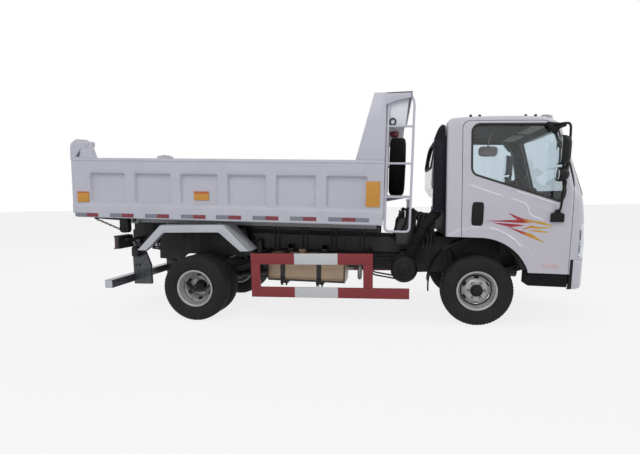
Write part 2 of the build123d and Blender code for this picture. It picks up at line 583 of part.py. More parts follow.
ladder_x, ladder_y, ladder_r = (768.0, 1042.0), -985.0, 13.0
ladder_z, rungs = (1045.0, 2470.0), (1425.0, 1790.0, 2185.0)
with BuildPart() as ladder:
    for x in ladder_x:
        bar((x, ladder_y, ladder_z[0]), (x, ladder_y, ladder_z[1]), ladder_r)
    for z in (ladder_z[0], *rungs):
        bar((ladder_x[0], ladder_y, z), (ladder_x[1], ladder_y, z), ladder_r)
    with Locations(*((x, ladder_y, ladder_z[0]) for x in ladder_x)):
        Sphere(ladder_r)
    for z in (rungs[0], rungs[2]):
        bar((bed_front_x + 1, ladder_y, z), (ladder_x[0], ladder_y, z), ladder_r)
save(ladder.part, "ladder")

# ---- hoist --------------------------------------------------------------------------
def hinged(point, angle):
    """A point of the bed, as (x, z), when the bed is tipped by angle degrees."""
    dx, dz = point[0] - hinge_x, point[1] - hinge_z
    c, s = cos(radians(angle)), sin(radians(angle))
    return hinge_x + dx * c - dz * s, hinge_z + dx * s + dz * c


def hoist_line(angle):
    """Length and slope in degrees of the line from the hoist's base to its eye."""
    x, z = hinged(hoist_eye, angle)
    dx, dz = x - hoist_base[0], z - hoist_base[1]
    return hypot(dx, dz), degrees(atan2(dz, dx))


closed, slope = hoist_line(0)
opened, steep = hoist_line(bed_limit)
rod_r, barrel_r, barrel_end = 45.0, 68.0, closed - 110.0


def on_hoist(distance):
    """Point (x, 0, z) on the hoist's axis at a distance from its base pin."""
    a = radians(slope)
    return hoist_base[0] + distance * cos(a), 0, hoist_base[1] + distance * sin(a)


with BuildPart() as barrel:
    bar(on_hoist(60), on_hoist(barrel_end), barrel_r)
    bar(on_hoist(110), on_hoist(barrel_end + 5), rod_r + running_fit, Mode.SUBTRACT)
    bar((hoist_base[0], -45, hoist_base[1]), (hoist_base[0], 45, hoist_base[1]), 50)
    bar(on_hoist(0), on_hoist(75), 44)
    bar((hoist_base[0], -60, hoist_base[1]), (hoist_base[0], 60, hoist_base[1]), hoist_pin_r + running_fit,
        Mode.SUBTRACT)
save(barrel.part, "hoist_barrel")

with BuildPart() as ram:
    bar(on_hoist(130), on_hoist(closed), rod_r)
    bar((hoist_eye[0], -eye_w / 2, hoist_eye[1]), (hoist_eye[0], eye_w / 2, hoist_eye[1]), eye_r)
save(ram.part, "hoist_rod")

# ---- cab ----------------------------------------------------------------------------
def side_outline(inset):
    """Side view of the cab, drawn in by inset; the windscreen is cut by the plan sections."""
    with BuildLine() as outline:
        Polyline((cab_rear_x - rear_lean, roof_z - 90), (cab_rear_x, cab_floor_z), (arch_x, cab_floor_z))
        ThreePointArc((arch_x, cab_floor_z), (arch_x + arch_r * sin(radians(45)), arch_z + arch_r * cos(radians(45))),
                      (arch_x + arch_r * cos(radians(19)), cab_low_z))
        Polyline((arch_x + arch_r * cos(radians(19)), cab_low_z), (step_front_x, cab_low_z),
                 (step_front_x, fascia_low_z), (cab_front_x + 100, fascia_low_z), (cab_front_x + 100, roof_z - 160),
                 (2600, roof_z - 26))
        ThreePointArc((2600, roof_z - 26), (2050, roof_z), (1520, roof_z - 16))
        RadiusArc((1520, roof_z - 16), (cab_rear_x - rear_lean, roof_z - 90), -118)
    make_face(outline.edges())
    if inset:
        offset(amount=-inset, mode=Mode.REPLACE)


def cross_outline(inset):
    """Front view of the cab: upright below the belt, leaning in above it, round at the roof."""
    w, top = cab_half_w - inset, roof_z - inset
    lean = 62.0
    with BuildLine() as outline:
        Polyline((-w + lean, top - 95), (-w, belt_z), (-w, 500), (w, 500), (w, belt_z), (w - lean, top - 95))
        RadiusArc((w - lean, top - 95), (w - lean - 95, top - 6), -105)
        ThreePointArc((w - lean - 95, top - 6), (0, top + 8), (-w + lean + 95, top - 6))
        RadiusArc((-w + lean + 95, top - 6), (-w + lean, top - 95), -105)
    make_face(outline.edges())


def plan_outline(front_x, inset):
    """Plan of the cab: square at the back, round corners and a bowed front."""
    w, x = cab_half_w - inset, front_x - inset
    with BuildLine() as outline:
        Polyline((x - 265, -w - 50), (1000, -w - 50), (1000, w + 50), (x - 265, w + 50), (x - 265, w))
        RadiusArc((x - 265, w), (x - nose_bow, w - 145), 240)
        ThreePointArc((x - nose_bow, w - 145), (x, 0), (x - nose_bow, -w + 145))
        RadiusArc((x - nose_bow, -w + 145), (x - 265, -w), 240)
        Line((x - 265, -w), (x - 265, -w - 50))
    make_face(outline.edges())


def cab_block(inset):
    """Whole cab as a solid, drawn in by inset on every face."""
    with BuildPart() as block:
        with BuildSketch(side_plane(0)):
            side_outline(inset)
        extrude(amount=cab_half_w + 60, both=True)
        with BuildSketch(cross_plane(1000)):
            cross_outline(inset)
        extrude(amount=2200, mode=Mode.INTERSECT)
        # front: z, furthest x
        stations = ((500.0, cab_front_x - 6), (1000.0, cab_front_x), (1430.0, cab_front_x - 45), (2380.0, 2604.0))
        with BuildPart(mode=Mode.PRIVATE) as nose:
            for z, x in stations:
                with BuildSketch(Plane.XY.offset(z)):
                    plan_outline(x, inset)
            loft(ruled=True)
        add(nose.part, mode=Mode.INTERSECT)
        # rear wall bulges behind the seats
        with BuildSketch(side_plane(0)):
            with BuildLine():
                Polyline((cab_rear_x + 40, roof_z - 60), (1375 + inset, roof_z - 95 - inset))
                ThreePointArc((1375 + inset, roof_z - 95 - inset), (1318 + inset, 2030),
                              (bulge_x + inset, 1820))
                Polyline((bulge_x + inset, 1820), (bulge_x + inset, 1530 + inset / 2),
                         (1365 + inset, 1430 + inset), (cab_rear_x + 40, 1420 + inset),
                         (cab_rear_x + 40, roof_z - 60))
            make_face()
        extrude(amount=700 - inset, both=True)
        # engine tunnel between the foot wells
        slab((1000, cab_front_x - 110 + inset), (-tunnel_half_w - inset, tunnel_half_w + inset),
             (400, cab_floor_z + inset), Mode.SUBTRACT)
    return block.part


outer, inner = cab_block(0), cab_block(cab_wall)


def door_outline(gap):
    """Side view of the door leaf, drawn in by gap on every edge."""
    top_x = door_rear_x - rear_lean
    with BuildLine() as outline:
        Polyline((top_x, door_top_z - 90), (door_rear_x, cab_floor_z - 80), (arch_x, cab_floor_z - 80),
                 (2250, 400), (door_front_x, 400), (door_front_x, 1540))
        ThreePointArc((door_front_x, 1540), (2668, 1840), (2558, 2115))
        RadiusArc((2558, 2115), (2400, door_top_z), -195)
        Line((2400, door_top_z), (top_x + 75, door_top_z))
        RadiusArc((top_x + 75, door_top_z), (top_x, door_top_z - 90), -85)
    make_face(outline.edges())
    if gap:
        offset(amount=-gap, mode=Mode.REPLACE)


def side_window():
    """Side view of the door's window."""
    with BuildLine() as outline:
        Polyline((1680, 1765), (1668, 2142))
        RadiusArc((1668, 2142), (1748, 2220), 82)
        Line((1748, 2220), (2395, 2220))
        RadiusArc((2395, 2220), (2525, 2105), 150)
        ThreePointArc((2525, 2105), (2600, 1840), (2635, 1560))
        Line((2635, 1560), (2600, 1412))
        Line((2600, 1412), (1750, 1672))
        RadiusArc((1750, 1672), (1680, 1765), 90)
    make_face(outline.edges())


def across(inset):
    """Everything between the cab's side walls, as a bar along X with the front view's outline."""
    with BuildPart() as core:
        with BuildSketch(cross_plane(1000)):
            cross_outline(inset)
        extrude(amount=2200)
    return core.part


with BuildPart() as door:
    add(outer)
    add(across(door_t), mode=Mode.SUBTRACT)
    with BuildSketch(side_plane(-700)):
        door_outline(clear)
    extrude(amount=400, mode=Mode.INTERSECT)
    with BuildSketch(side_plane(-600)):
        side_window()
    extrude(amount=500, mode=Mode.SUBTRACT)
door_leaf = door.part.solids().sort_by(SortBy.VOLUME)[-1]
save(Part() + door_leaf, "door_right")
save(mirror(Part() + door_leaf, about=Plane.XZ), "door_left")

pane_outer, pane_inner = cab_block(16), cab_block(16 + glass_t)
with BuildPart() as pane:
    with BuildSketch(side_plane(-700)):
        side_window()
    extrude(amount=400)
    add(pane_outer, mode=Mode.INTERSECT)
    add(pane_inner, mode=Mode.SUBTRACT)
pane_leaf = pane.part.solids().sort_by(SortBy.VOLUME)[-1]
save(Part() + pane_leaf, "door_glass_right")
save(mirror(Part() + pane_leaf, about=Plane.XZ), "door_glass_left")


def screen_outline(inset):
    """Front view of the windscreen."""
    with BuildLine() as outline:
        Polyline((-800 + inset, 1475 + inset), (800 - inset, 1475 + inset), (705 - inset, 2212 - inset),
                 (-705 + inset, 2212 - inset), close=True)
    make_face(outline.edges())


def rear_outline(inset):
    """Front view of the rear window."""
    with Locations((0, 1950)):
        RectangleRounded(1040 - 2 * inset, 330 - 2 * inset, 60 - inset)


lamp_x_range, lamp_y_range, lamp_low, lamp_high = (2820.0, 3100.0), (640.0, 1000.0), 815.0, 1190.0


def pane_piece(outline, start_x, length):
    """Curved pane of glass that fills the outline in the wall it crosses."""
    with BuildPart() as piece:
        with BuildSketch(cross_plane(start_x)) as face:
            outline(seat_gap)
        extrude(face.sketch, amount=length)
        add(pane_outer, mode=Mode.INTERSECT)
        add(pane_inner, mode=Mode.SUBTRACT)
    return piece.part.solids().sort_by(SortBy.VOLUME)[-1]


save(Part() + pane_piece(screen_outline, 2300, 900) + pane_piece(rear_outline, 1200, 300), "cab_glass")

with BuildPart() as shell:
    add(outer)
    add(inner, mode=Mode.SUBTRACT)
    with BuildPart(mode=Mode.PRIVATE) as doorways:
        with BuildSketch(side_plane(0)):
            door_outline(0)
        extrude(amount=cab_half_w + 100, both=True)
        add(across(door_t + clear), mode=Mode.SUBTRACT)
    add(doorways.part, mode=Mode.SUBTRACT)
    for z in (1090, 1390):              # hinge bosses on the front posts
        for side in (-1, 1):
            y = sorted((side * (cab_half_w - 36), side * (cab_half_w - 4)))
            slab((door_front_x - clear + seat_gap, door_front_x + 6), y, (z - 35, z + 35))
    slab(lamp_x_range, (-lamp_y_range[1], -lamp_y_range[0]), (lamp_low, lamp_high), Mode.SUBTRACT)
    slab(lamp_x_range, lamp_y_range, (lamp_low, lamp_high), Mode.SUBTRACT)
    with BuildSketch(cross_plane(2300)):
        screen_outline(0)
    extrude(amount=900, mode=Mode.SUBTRACT)
    with BuildSketch(cross_plane(1200)):
        rear_outline(0)
    extrude(amount=300, mode=Mode.SUBTRACT)
cab_shell = shell.part.solids().sort_by(SortBy.VOLUME)[-1]
with BuildPart() as pivots:
    for side in (-1, 1):
        y = sorted((side * (rail_y + 8), side * (rail_y + 40)))
        plate(((cab_pivot_x - 45, cab_pivot_z - 45), (cab_pivot_x + 45, cab_pivot_z - 45),
               (cab_front_x - 90, cab_pivot_z + 130), (cab_front_x - 90, cab_floor_z + 10),
               (cab_pivot_x - 45, cab_floor_z + 10)), y)
    bar((cab_pivot_x, -500, cab_pivot_z), (cab_pivot_x, 500, cab_pivot_z), cab_pivot_r + running_fit,
        Mode.SUBTRACT)
save(Part() + cab_shell + pivots.part, "cab_shell")

with BuildPart() as grille:
    with BuildPart(mode=Mode.PRIVATE) as nose:
        add(cab_block(-14))
        add(cab_block(-seat_gap), mode=Mode.SUBTRACT)
    add(nose.part)
    slab((cab_front_x - 200, cab_front_x + 100), (-520, 520), (880, 1120), Mode.INTERSECT)
save(Part() + grille.part.solids().sort_by(SortBy.VOLUME)[-1], "front_grille")

bumper_z, bumper_rear_x = (470.0, fascia_low_z - seat_gap), 2745.0
with BuildPart() as bumper:
    with BuildSketch(Plane.XY.offset(bumper_z[0])):
        plan_outline(cab_front_x, 0)
        with BuildSketch(mode=Mode.PRIVATE) as back:
            plan_outline(cab_front_x, 35)
        add(back.sketch, mode=Mode.SUBTRACT)
    extrude(amount=bumper_z[1] - bumper_z[0])
    slab((bumper_rear_x, cab_front_x + 10), (-cab_half_w, cab_half_w), bumper_z, Mode.INTERSECT)
save(bumper.part, "bumper")

with BuildPart() as headlamp:
    add(outer)
    add(cab_block(38), mode=Mode.SUBTRACT)
    slab((lamp_x_range[0] + 1, lamp_x_range[1]), (lamp_y_range[0] + 1, lamp_y_range[1]),
         (lamp_low + seat_gap, lamp_high - 1), Mode.INTERSECT)
save(both_sides(Part() + headlamp.part.solids().sort_by(SortBy.VOLUME)[-1]), "headlamps")

driver_y = 430.0
wheel_hub, wheel_axis, wheel_r, wheel_rim = Vector(2465, driver_y, 1640), Vector(-0.42, 0, 0.9075), 215.0, 32.0
with BuildPart() as dashboard:
    plate(((2545, 1480), (2700, 1505), (2870, 1462), (2860, 1060), (2700, 1060), (2600, 1200), (2480, 1290),
           (2490, 1390)), (-860, 860))
    add(cab_block(cab_wall + seat_gap), mode=Mode.INTERSECT)
    bar(wheel_hub - wheel_axis * 260, wheel_hub - wheel_axis * seat_gap, 38)
save(dashboard.part, "dashboard")

with BuildPart() as steering_wheel:
    with BuildSketch(Plane(origin=wheel_hub, x_dir=(0, 1, 0), z_dir=wheel_axis)):
        Circle(wheel_r)
        Circle(wheel_r - wheel_rim, mode=Mode.SUBTRACT)
        Rectangle(400, 40)
        Circle(62)
    extrude(amount=28)
save(steering_wheel.part, "steering_wheel")

seat_floor = cab_floor_z + cab_wall
with BuildPart() as seats:
    # y of the middle, width
    for y, w in ((driver_y, 480), (-350, 860)):
        slab((1530, 2040), (y - w / 2, y + w / 2), (seat_floor + 130, seat_floor + 300))
        plate(((1640, seat_floor + 300 + seat_gap), (1590, 2040), (1500, 2040), (1520, seat_floor + 300 + seat_gap)),
              (y - w / 2, y + w / 2))
        slab((1560, 2000), (y - w / 2 + 30, y + w / 2 - 30), (seat_floor + seat_gap, seat_floor + 130 - seat_gap))
save(seats.part, "seats")

with BuildPart() as liner:
    with BuildSketch(side_plane(700)):
        with BuildLine():
            arc_r, start, end = arch_r - seat_gap, radians(22), radians(178)
            outer_arc = ThreePointArc((arch_x + arc_r * cos(start), arch_z + arc_r * sin(start)),
                                      (arch_x, arch_z + arc_r),
                                      (arch_x + arc_r * cos(end), arch_z + arc_r * sin(end)))
            Line(outer_arc @ 1, (arch_x + (arc_r - 14) * cos(end), arch_z + (arc_r - 14) * sin(end)))
            inner_arc = ThreePointArc((arch_x + (arc_r - 14) * cos(end), arch_z + (arc_r - 14) * sin(end)),
                                      (arch_x, arch_z + arc_r - 14),
                                      (arch_x + (arc_r - 14) * cos(start), arch_z + (arc_r - 14) * sin(start)))
            Line(inner_arc @ 1, outer_arc @ 0)
        make_face()
    extrude(amount=-240)
    slab((2335, 2735), (700, 945), (495, 625))
    slab((2335, 2735), (700, 800), (560, cab_low_z - seat_gap))
save(both_sides(liner.part), "arch_liners_and_steps")


def rear_at(z):
    """x of the cab's leaning rear wall at height z."""
    return cab_rear_x - rear_lean * (z - cab_floor_z) / (roof_z - 90 - cab_floor_z)


snorkel_y, snorkel_low, neck = (-915.0, -765.0), 1262.0, (1300.0, 2100.0)
with BuildPart() as snorkel:
    plate(((1296, snorkel_low), (1404, snorkel_low), (1388, 2185), (1374, 2214), (1350, 2218), (1322, 2190),
           (1280, 2080)), snorkel_y)
    plate(((1375, neck[0]), (rear_at(neck[0]) - seat_gap, neck[0]), (rear_at(neck[1]) - seat_gap, neck[1]),
           (1375, neck[1])), (snorkel_y[0] + 30, snorkel_y[1] - 30))
    # sleeve over the cleaner's pipe, which it leaves when the cab tilts
    along = (pipe_mouth - pipe_foot).normalized()
    elbow = pipe_mouth + along * 45
    bar(pipe_mouth + along * (clear + 2), elbow, pipe_r + 4)
    bar(elbow - along * 12, (1350, sum(snorkel_y) / 2, snorkel_low + 15), pipe_r + 4)
save(snorkel.part, "intake_snorkel")

with BuildPart() as mirror_set:
    bar((2620, -925, 2165), (2690, -1075, 2150), 12)
    bar((2690, -1075, 2150), (2650, -1075, 1285), 11)
    bar((2650, -1075, 1285), (2640, -970, 1255), 12)
    slab((2590, 2665), (-1010, -967), (1200, 1292))
    slab((2630, 2680), (-1190, -1010), (1790, 2080))
    bar((2650, -1085, 1690), (2690, -1085, 1690), 78)
save(mirror_set.part, "mirror_right")
save(mirror(mirror_set.part, about=Plane.XZ), "mirror_left")
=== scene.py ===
"""Looks of a light dump truck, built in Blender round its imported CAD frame.

Frame: +X forward, +Y to the left, +Z up, metres, origin on the ground at mid-length.
Wheels and axles stand level.  Frame, bed and cab are worked out level and then turned
2 degrees nose-down about the front axle by `stance`, as the truck stands empty.
"""
from math import atan2, cos, pi, radians, sin

import bpy
import numpy as np
from mathutils import Matrix, Vector


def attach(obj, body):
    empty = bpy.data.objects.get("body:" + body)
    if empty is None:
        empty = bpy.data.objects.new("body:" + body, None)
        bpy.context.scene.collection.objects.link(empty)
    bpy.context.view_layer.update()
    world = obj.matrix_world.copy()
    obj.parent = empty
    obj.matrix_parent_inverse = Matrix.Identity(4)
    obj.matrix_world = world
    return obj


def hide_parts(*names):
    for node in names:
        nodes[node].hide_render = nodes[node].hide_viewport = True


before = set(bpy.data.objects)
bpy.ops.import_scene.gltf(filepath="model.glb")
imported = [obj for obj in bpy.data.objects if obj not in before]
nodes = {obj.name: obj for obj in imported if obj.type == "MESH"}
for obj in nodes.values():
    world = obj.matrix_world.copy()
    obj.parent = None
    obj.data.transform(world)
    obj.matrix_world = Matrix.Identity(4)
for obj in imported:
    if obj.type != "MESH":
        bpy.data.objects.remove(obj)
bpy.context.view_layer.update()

# ---- Studio -----------------------------------------------------------------------
# A pale floor under a white sky, three large soft lamps, the strongest above the near
# side, and a camera at standing height that looks across the right-hand side.
scene = bpy.context.scene
scene.view_settings.view_transform = "Standard"

eye = Vector((0.8915, -5.894, 1.457))
yaw, pitch, roll = radians(-8.211), radians(-6.638), radians(-0.87)
ahead = Vector((sin(yaw) * cos(pitch), cos(yaw) * cos(pitch), sin(pitch)))
right = Vector((cos(yaw), -sin(yaw), 0))
top = right.cross(ahead)
right, top = cos(roll) * right + sin(roll) * top, cos(roll) * top - sin(roll) * right
camera = bpy.data.objects.new("camera", bpy.data.cameras.new("camera"))
scene.collection.objects.link(camera)
camera.matrix_world = Matrix.Translation(eye) @ Matrix((right, top, -ahead)).transposed().to_4x4()
camera.data.lens = 24.63
camera.data.shift_x, camera.data.shift_y = -0.01675, 0.03445
camera.data.clip_end = 300
scene.camera = camera


def add(tree, kind, sockets=None, **settings):
    """Adds a node, sets its settings, and sets or links each named or numbered input."""
    node = tree.nodes.new(kind)
    for key, value in settings.items():
        setattr(node, key, value)
    for key, value in (sockets or {}).items():
        if isinstance(value, bpy.types.NodeSocket):
            tree.links.new(value, node.inputs[key])
        else:
            node.inputs[key].default_value = value
    return node


def emptied(owner):
    """The node tree of a material or world, switched on and cleared."""
    owner.use_nodes = True
    owner.node_tree.nodes.clear()
    return owner.node_tree


def linear(code, alpha=1.0):
    """Linear RGBA of an sRGB hex code: c / 12.92 when dark, else ((c + 0.055) / 1.055) ** 2.4."""
    c = np.array([int(code[i:i + 2], 16) for i in (0, 2, 4)]) / 255
    c = np.where(c <= 0.04045, c / 12.92, ((c + 0.055) / 1.055) ** 2.4)
    return (*c.tolist(), alpha)


def seen_or_mirrored(tree):
    """1 for what the camera sees straight, in a reflection or through glass, else 0."""
    path = add(tree, "ShaderNodeLightPath")
    straight = add(tree, "ShaderNodeMath", {0: path.outputs["Is Camera Ray"], 1: path.outputs["Is Glossy Ray"]},
        operation="MAXIMUM")
    return add(tree, "ShaderNodeMath", {0: straight.outputs[0], 1: path.outputs["Is Transmission Ray"]},
        operation="MAXIMUM").outputs[0]


world = bpy.data.worlds.new("white sky")
scene.world = world
tree = emptied(world)
ambient = add(tree, "ShaderNodeBackground", {"Color": linear("E9EEF6"), "Strength": 0.5})
backdrop = add(tree, "ShaderNodeBackground", {"Color": linear("FFFFFF"), "Strength": 1.0})
mixed = add(tree, "ShaderNodeMixShader", {0: seen_or_mirrored(tree), 1: ambient.outputs[0], 2: backdrop.outputs[0]})
add(tree, "ShaderNodeOutputWorld", {"Surface": mixed.outputs[0]})

floor_mesh = bpy.data.meshes.new("studio_floor")
reach = 60
floor_mesh.from_pydata([(-reach, -reach, 0), (reach, -reach, 0), (reach, reach, 0), (-reach, reach, 0)], [],
    [(0, 1, 2, 3)])
floor = bpy.data.objects.new("studio_floor", floor_mesh)
scene.collection.objects.link(floor)
paper = bpy.data.materials.new("matt white studio paper")
tree = emptied(paper)
lit = add(tree, "ShaderNodeBsdfDiffuse", {"Color": linear("E8E9EB")})
glow = add(tree, "ShaderNodeEmission", {"Color": linear("FFFFFF"), "Strength": 1.0})
share = add(tree, "ShaderNodeMath", {0: seen_or_mirrored(tree), 1: 0.82}, operation="MULTIPLY")
mixed = add(tree, "ShaderNodeMixShader", {0: share.outputs[0], 1: lit.outputs[0], 2: glow.outputs[0]})
add(tree, "ShaderNodeOutputMaterial", {"Surface": mixed.outputs[0]})
floor_mesh.materials.append(paper)

# Three soft lamps: place, what each faces, size in metres, power in watts.
for place, target, size, power in (((-1.5, -8.0, 8.5), (0, 0, 1.0), 7.0, 330),
        ((9.0, -3.0, 5.5), (1.5, 0, 1.2), 5.0, 110), ((-3.0, 7.5, 7.0), (0, 0, 1.2), 6.0, 150)):
    lamp = bpy.data.objects.new("soft_lamp", bpy.data.lights.new("soft_lamp", "AREA"))
    lamp.data.size, lamp.data.energy = size, power
    lamp.location = place
    lamp.rotation_euler = (Vector(target) - Vector(place)).to_track_quat("-Z", "Y").to_euler()
    scene.collection.objects.link(lamp)

# ---- Frame rails and tipper subframe ------------------------------------------------
# Pressed steel channels riveted into a ladder and dipped in black chassis paint, with a
# second, lighter pair of channels clamped on top for the bed.  Road dust settles on the
# upper faces.  Rows of rivets and the U-bolts of the subframe are pieces of their own.
rake = radians(2.0)
axle_x, axle_z = 1.817, 0.398


def stance(points):
    """Turns level points by the rake about the front axle: x' = x cos + z sin, z' = z cos - x sin."""
    p = np.array(points, float)
    x, z = p[..., 0] - axle_x, p[..., 2] - axle_z
    turned = p.copy()
    turned[..., 0] = axle_x + x * cos(rake) + z * sin(rake)
    turned[..., 2] = axle_z - x * sin(rake) + z * cos(rake)
    return turned


def spots(*coordinates):
    """Points (..., n) from n coordinate arrays; a plain number is the same for all the points."""
    return np.stack(np.broadcast_arrays(*coordinates), -1)


def full_turn(count):
    """Equally spaced angles of one turn."""
    return np.linspace(0, 2 * pi, count, endpoint=False)


def corners(u, v):
    """The rectangle between the two ends given for each of two axes."""
    return (u[0], v[0]), (u[1], v[0]), (u[1], v[1]), (u[0], v[1])


def both_ends(half):
    """A profile that is alike at both ends: the half given, then its mirror image backwards."""
    half = np.array(half, float)
    return np.concatenate((half, (half * (1, -1))[::-1]))


def lattice(grid, wrap_rows=False, wrap_columns=False, capped=False):
    """(points, faces) of a grid (rows, columns, 3): quad (i, j) joins rows i, i+1 and columns j, j+1.

    If capped, one face closes each end of the tube: the first and last rows of a grid whose columns
    wrap, or the first and last columns of one whose rows wrap.
    """
    rows, columns = grid.shape[:2]
    number = np.arange(rows * columns).reshape(rows, columns)
    caps = (number[0, ::-1], number[-1]) if wrap_columns else (number[:, 0], number[::-1, -1])
    if wrap_rows:
        number = np.vstack((number, number[:1]))
    if wrap_columns:
        number = np.hstack((number, number[:, :1]))
    a, b, c, d = number[:-1, :-1], number[:-1, 1:], number[1:, 1:], number[1:, :-1]
    quads = np.stack((a, b, c, d), -1).reshape(-1, 4).tolist()
    return grid.reshape(-1, 3), quads + [cap.tolist() for cap in caps] if capped else quads


def plate(outline, near, far, edge=0.003, axis="y"):
    """Closed plate: the outline carried from near to far, its rim rounded in two steps.

    The outline (n, 2) is in (x, z) for axis y, (y, z) for axis x and (x, y) for axis z.  Each ring
    is the outline moved inwards along its corners' mitres by edge * (1 - sin), at edge * (1 - cos)
    from the end face.
    """
    flat = np.array(outline, float)
    area = np.sum(flat[:, 0] * np.roll(flat[:, 1], -1) - np.roll(flat[:, 0], -1) * flat[:, 1])
    if area < 0:
        flat = flat[::-1]
    ahead_of = np.roll(flat, -1, 0) - flat
    ahead_of /= np.maximum(np.linalg.norm(ahead_of, axis=1, keepdims=True), 1e-9)
    behind = np.roll(ahead_of, 1, 0)
    inward = spots(-ahead_of[:, 1] - behind[:, 1], ahead_of[:, 0] + behind[:, 0])
    inward /= np.maximum(1 + np.sum(ahead_of * behind, 1, keepdims=True), 0.25)
    steps = np.array([0, pi / 4, pi / 2])
    drop, along = edge * (1 - np.sin(steps)), edge * (1 - np.cos(steps))
    depth = np.concatenate((near + along, far - along[::-1]))
    inset = np.concatenate((drop, drop[::-1]))
    rings = flat[None] + inward[None] * inset[:, None, None]
    across = np.broadcast_to(depth[:, None], rings.shape[:2])
    order = {"y": (rings[..., 0], across, rings[..., 1]), "x": (across, rings[..., 0], rings[..., 1]),
        "z": (rings[..., 0], rings[..., 1], across)}[axis]
    return lattice(np.stack(order, -1), wrap_columns=True, capped=True)


def brick(x, y, z, edge=0.003):
    """Closed box between the two ends given for each axis, with rounded long edges."""
    return plate(corners(x, z), *y, edge)


def eased(path, reach, steps=6):
    """A path whose corners are replaced by quadratic curves that start reach before each corner."""
    path = np.array(path, float)
    points = [path[:1]]
    t = np.linspace(0, 1, steps)[:, None]
    for before, corner, after in zip(path[:-2], path[1:-1], path[2:]):
        a, b = before - corner, after - corner
        start = corner + a * min(0.5, reach / np.linalg.norm(a))
        end = corner + b * min(0.5, reach / np.linalg.norm(b))
        points.append((1 - t) ** 2 * start + 2 * t * (1 - t) * corner + t ** 2 * end)
    return np.concatenate(points + [path[-1:]])


def tube(path, radius, sides=14, closed=False):
    """Round tube: a circle carried along the path in frames that don't twist, domed shut at its ends."""
    path = np.array(path, float)
    radius = np.broadcast_to(np.asarray(radius, float), (len(path),)).copy()
    if not closed:
        first, last = path[0] - path[1], path[-1] - path[-2]
        first, last = first / np.linalg.norm(first), last / np.linalg.norm(last)
        path = np.concatenate((path[:1] + first * radius[0] * 0.25, path, path[-1:] + last * radius[-1] * 0.25))
        radius = np.concatenate((radius[:1] * 0.55, radius, radius[-1:] * 0.55))
    along = np.roll(path, -1, 0) - np.roll(path, 1, 0)
    if not closed:
        along[0], along[-1] = path[1] - path[0], path[-1] - path[-2]
    along /= np.maximum(np.linalg.norm(along, axis=1, keepdims=True), 1e-9)
    side = np.cross(along[0], (0, 0, 1) if abs(along[0][2]) < 0.9 else (0, 1, 0))
    sides_of = []
    for direction in along:
        side = side - direction * np.dot(side, direction)
        side = side / np.linalg.norm(side)
        sides_of.append(side)
    sides_of = np.array(sides_of)
    up_of = np.cross(along, sides_of)
    turn = full_turn(sides)
    ring = sides_of[:, None] * np.cos(turn)[None, :, None] + up_of[:, None] * np.sin(turn)[None, :, None]
    return lattice(path[:, None] + ring * radius[:, None, None], closed, True, not closed)


def turned(profile, centre, axis=(0, 1, 0), sides=48):
    """Surface of revolution of (radius, distance along axis) points about the axis through centre."""
    profile = np.array(profile, float)
    axis = np.array(axis, float) / np.linalg.norm(axis)
    side = np.cross(axis, (0, 0, 1) if abs(axis[2]) < 0.9 else (1, 0, 0))
    side /= np.linalg.norm(side)
    up = np.cross(axis, side)
    turn = full_turn(sides)
    ring = side * np.cos(turn)[:, None] + up * np.sin(turn)[:, None]
    grid = np.array(centre, float) + ring[None] * profile[:, 0, None, None] + axis * profile[:, 1, None, None]
    return lattice(grid, wrap_columns=True)


pole = 0.0001  # the radius at which a turned profile is closed


def band(inner, outer, half, lip, centre, axis, sides):
    """Clamp or ring round an axis: inner radius at its edges, outer radius from lip inside them."""
    return turned(both_ends(((inner, -half), (outer, lip - half))), centre, axis, sides)


def about(middle, reach):
    """The interval that reaches equally far to both sides of a place."""
    return middle - reach, middle + reach


def flank(side, low, high):
    """The interval from low to high of one side of the truck, in rising order."""
    return sorted((side * low, side * high))


def bolt(centre, axis=(0, -1, 0), size=0.019, height=0.012):
    """Hexagon head on its washer: flat-to-flat size, the head's rim chamfered, closed by its face."""
    r = size / 2 / cos(pi / 6)
    points, quads = turned(((r * 1.25, 0), (r * 1.25, 0.003), (r * 0.99, 0.0031), (r, height * 0.8),
        (r * 0.86, height), (r * 0.86, height)), centre, axis, 6)
    return points, quads + [list(range(30, 36))]


def outwards(points, faces):
    """The faces, all turned round if the volume they enclose, the sum of a . (b x c) / 6, is negative."""
    p = points - points.mean(0)
    fans = [(f[0], f[i], f[i + 1]) for f in faces for i in range(1, len(f) - 1)]
    a, b, c = p[np.array(fans)].transpose(1, 0, 2)
    return faces if np.sum(a * np.cross(b, c)) >= 0 else [f[::-1] for f in faces]


def arc(start, through, end, count=14):
    """Points on the circle through three points of a plane, from start to end."""
    a, b, c = (np.array(p, float) for p in (start, through, end))
    d = 2 * (a[0] * (b[1] - c[1]) + b[0] * (c[1] - a[1]) + c[0] * (a[1] - b[1]))
    ux = (a @ a * (b[1] - c[1]) + b @ b * (c[1] - a[1]) + c @ c * (a[1] - b[1])) / d
    uy = (a @ a * (c[0] - b[0]) + b @ b * (a[0] - c[0]) + c @ c * (b[0] - a[0])) / d
    centre = np.array((ux, uy))
    angles = [atan2(*(p - centre)[::-1]) for p in (a, b, c)]
    sweep = (angles[2] - angles[0]) % (2 * pi)
    if (angles[1] - angles[0]) % (2 * pi) > sweep:
        sweep -= 2 * pi
    t = angles[0] + sweep * np.linspace(0, 1, count)
    return centre + np.hypot(*(a - centre)) * spots(np.cos(t), np.sin(t))


def drawn_in(outline, gap):
    """The outline moved inwards by gap along its corners' mitres (outwards if gap is negative)."""
    points, n = plate(outline, 0.0, 1.0, abs(gap))[0], len(outline)
    near_face, full = points[:n], points[2 * n:3 * n]
    moved = near_face if gap > 0 else 2 * full - near_face
    return moved[:, (0, 2)]


def prism(outline, near, far, axis="y"):
    """Closed prism of the outline between two places on an axis."""
    return plate(outline, near, far, 0.0, axis)


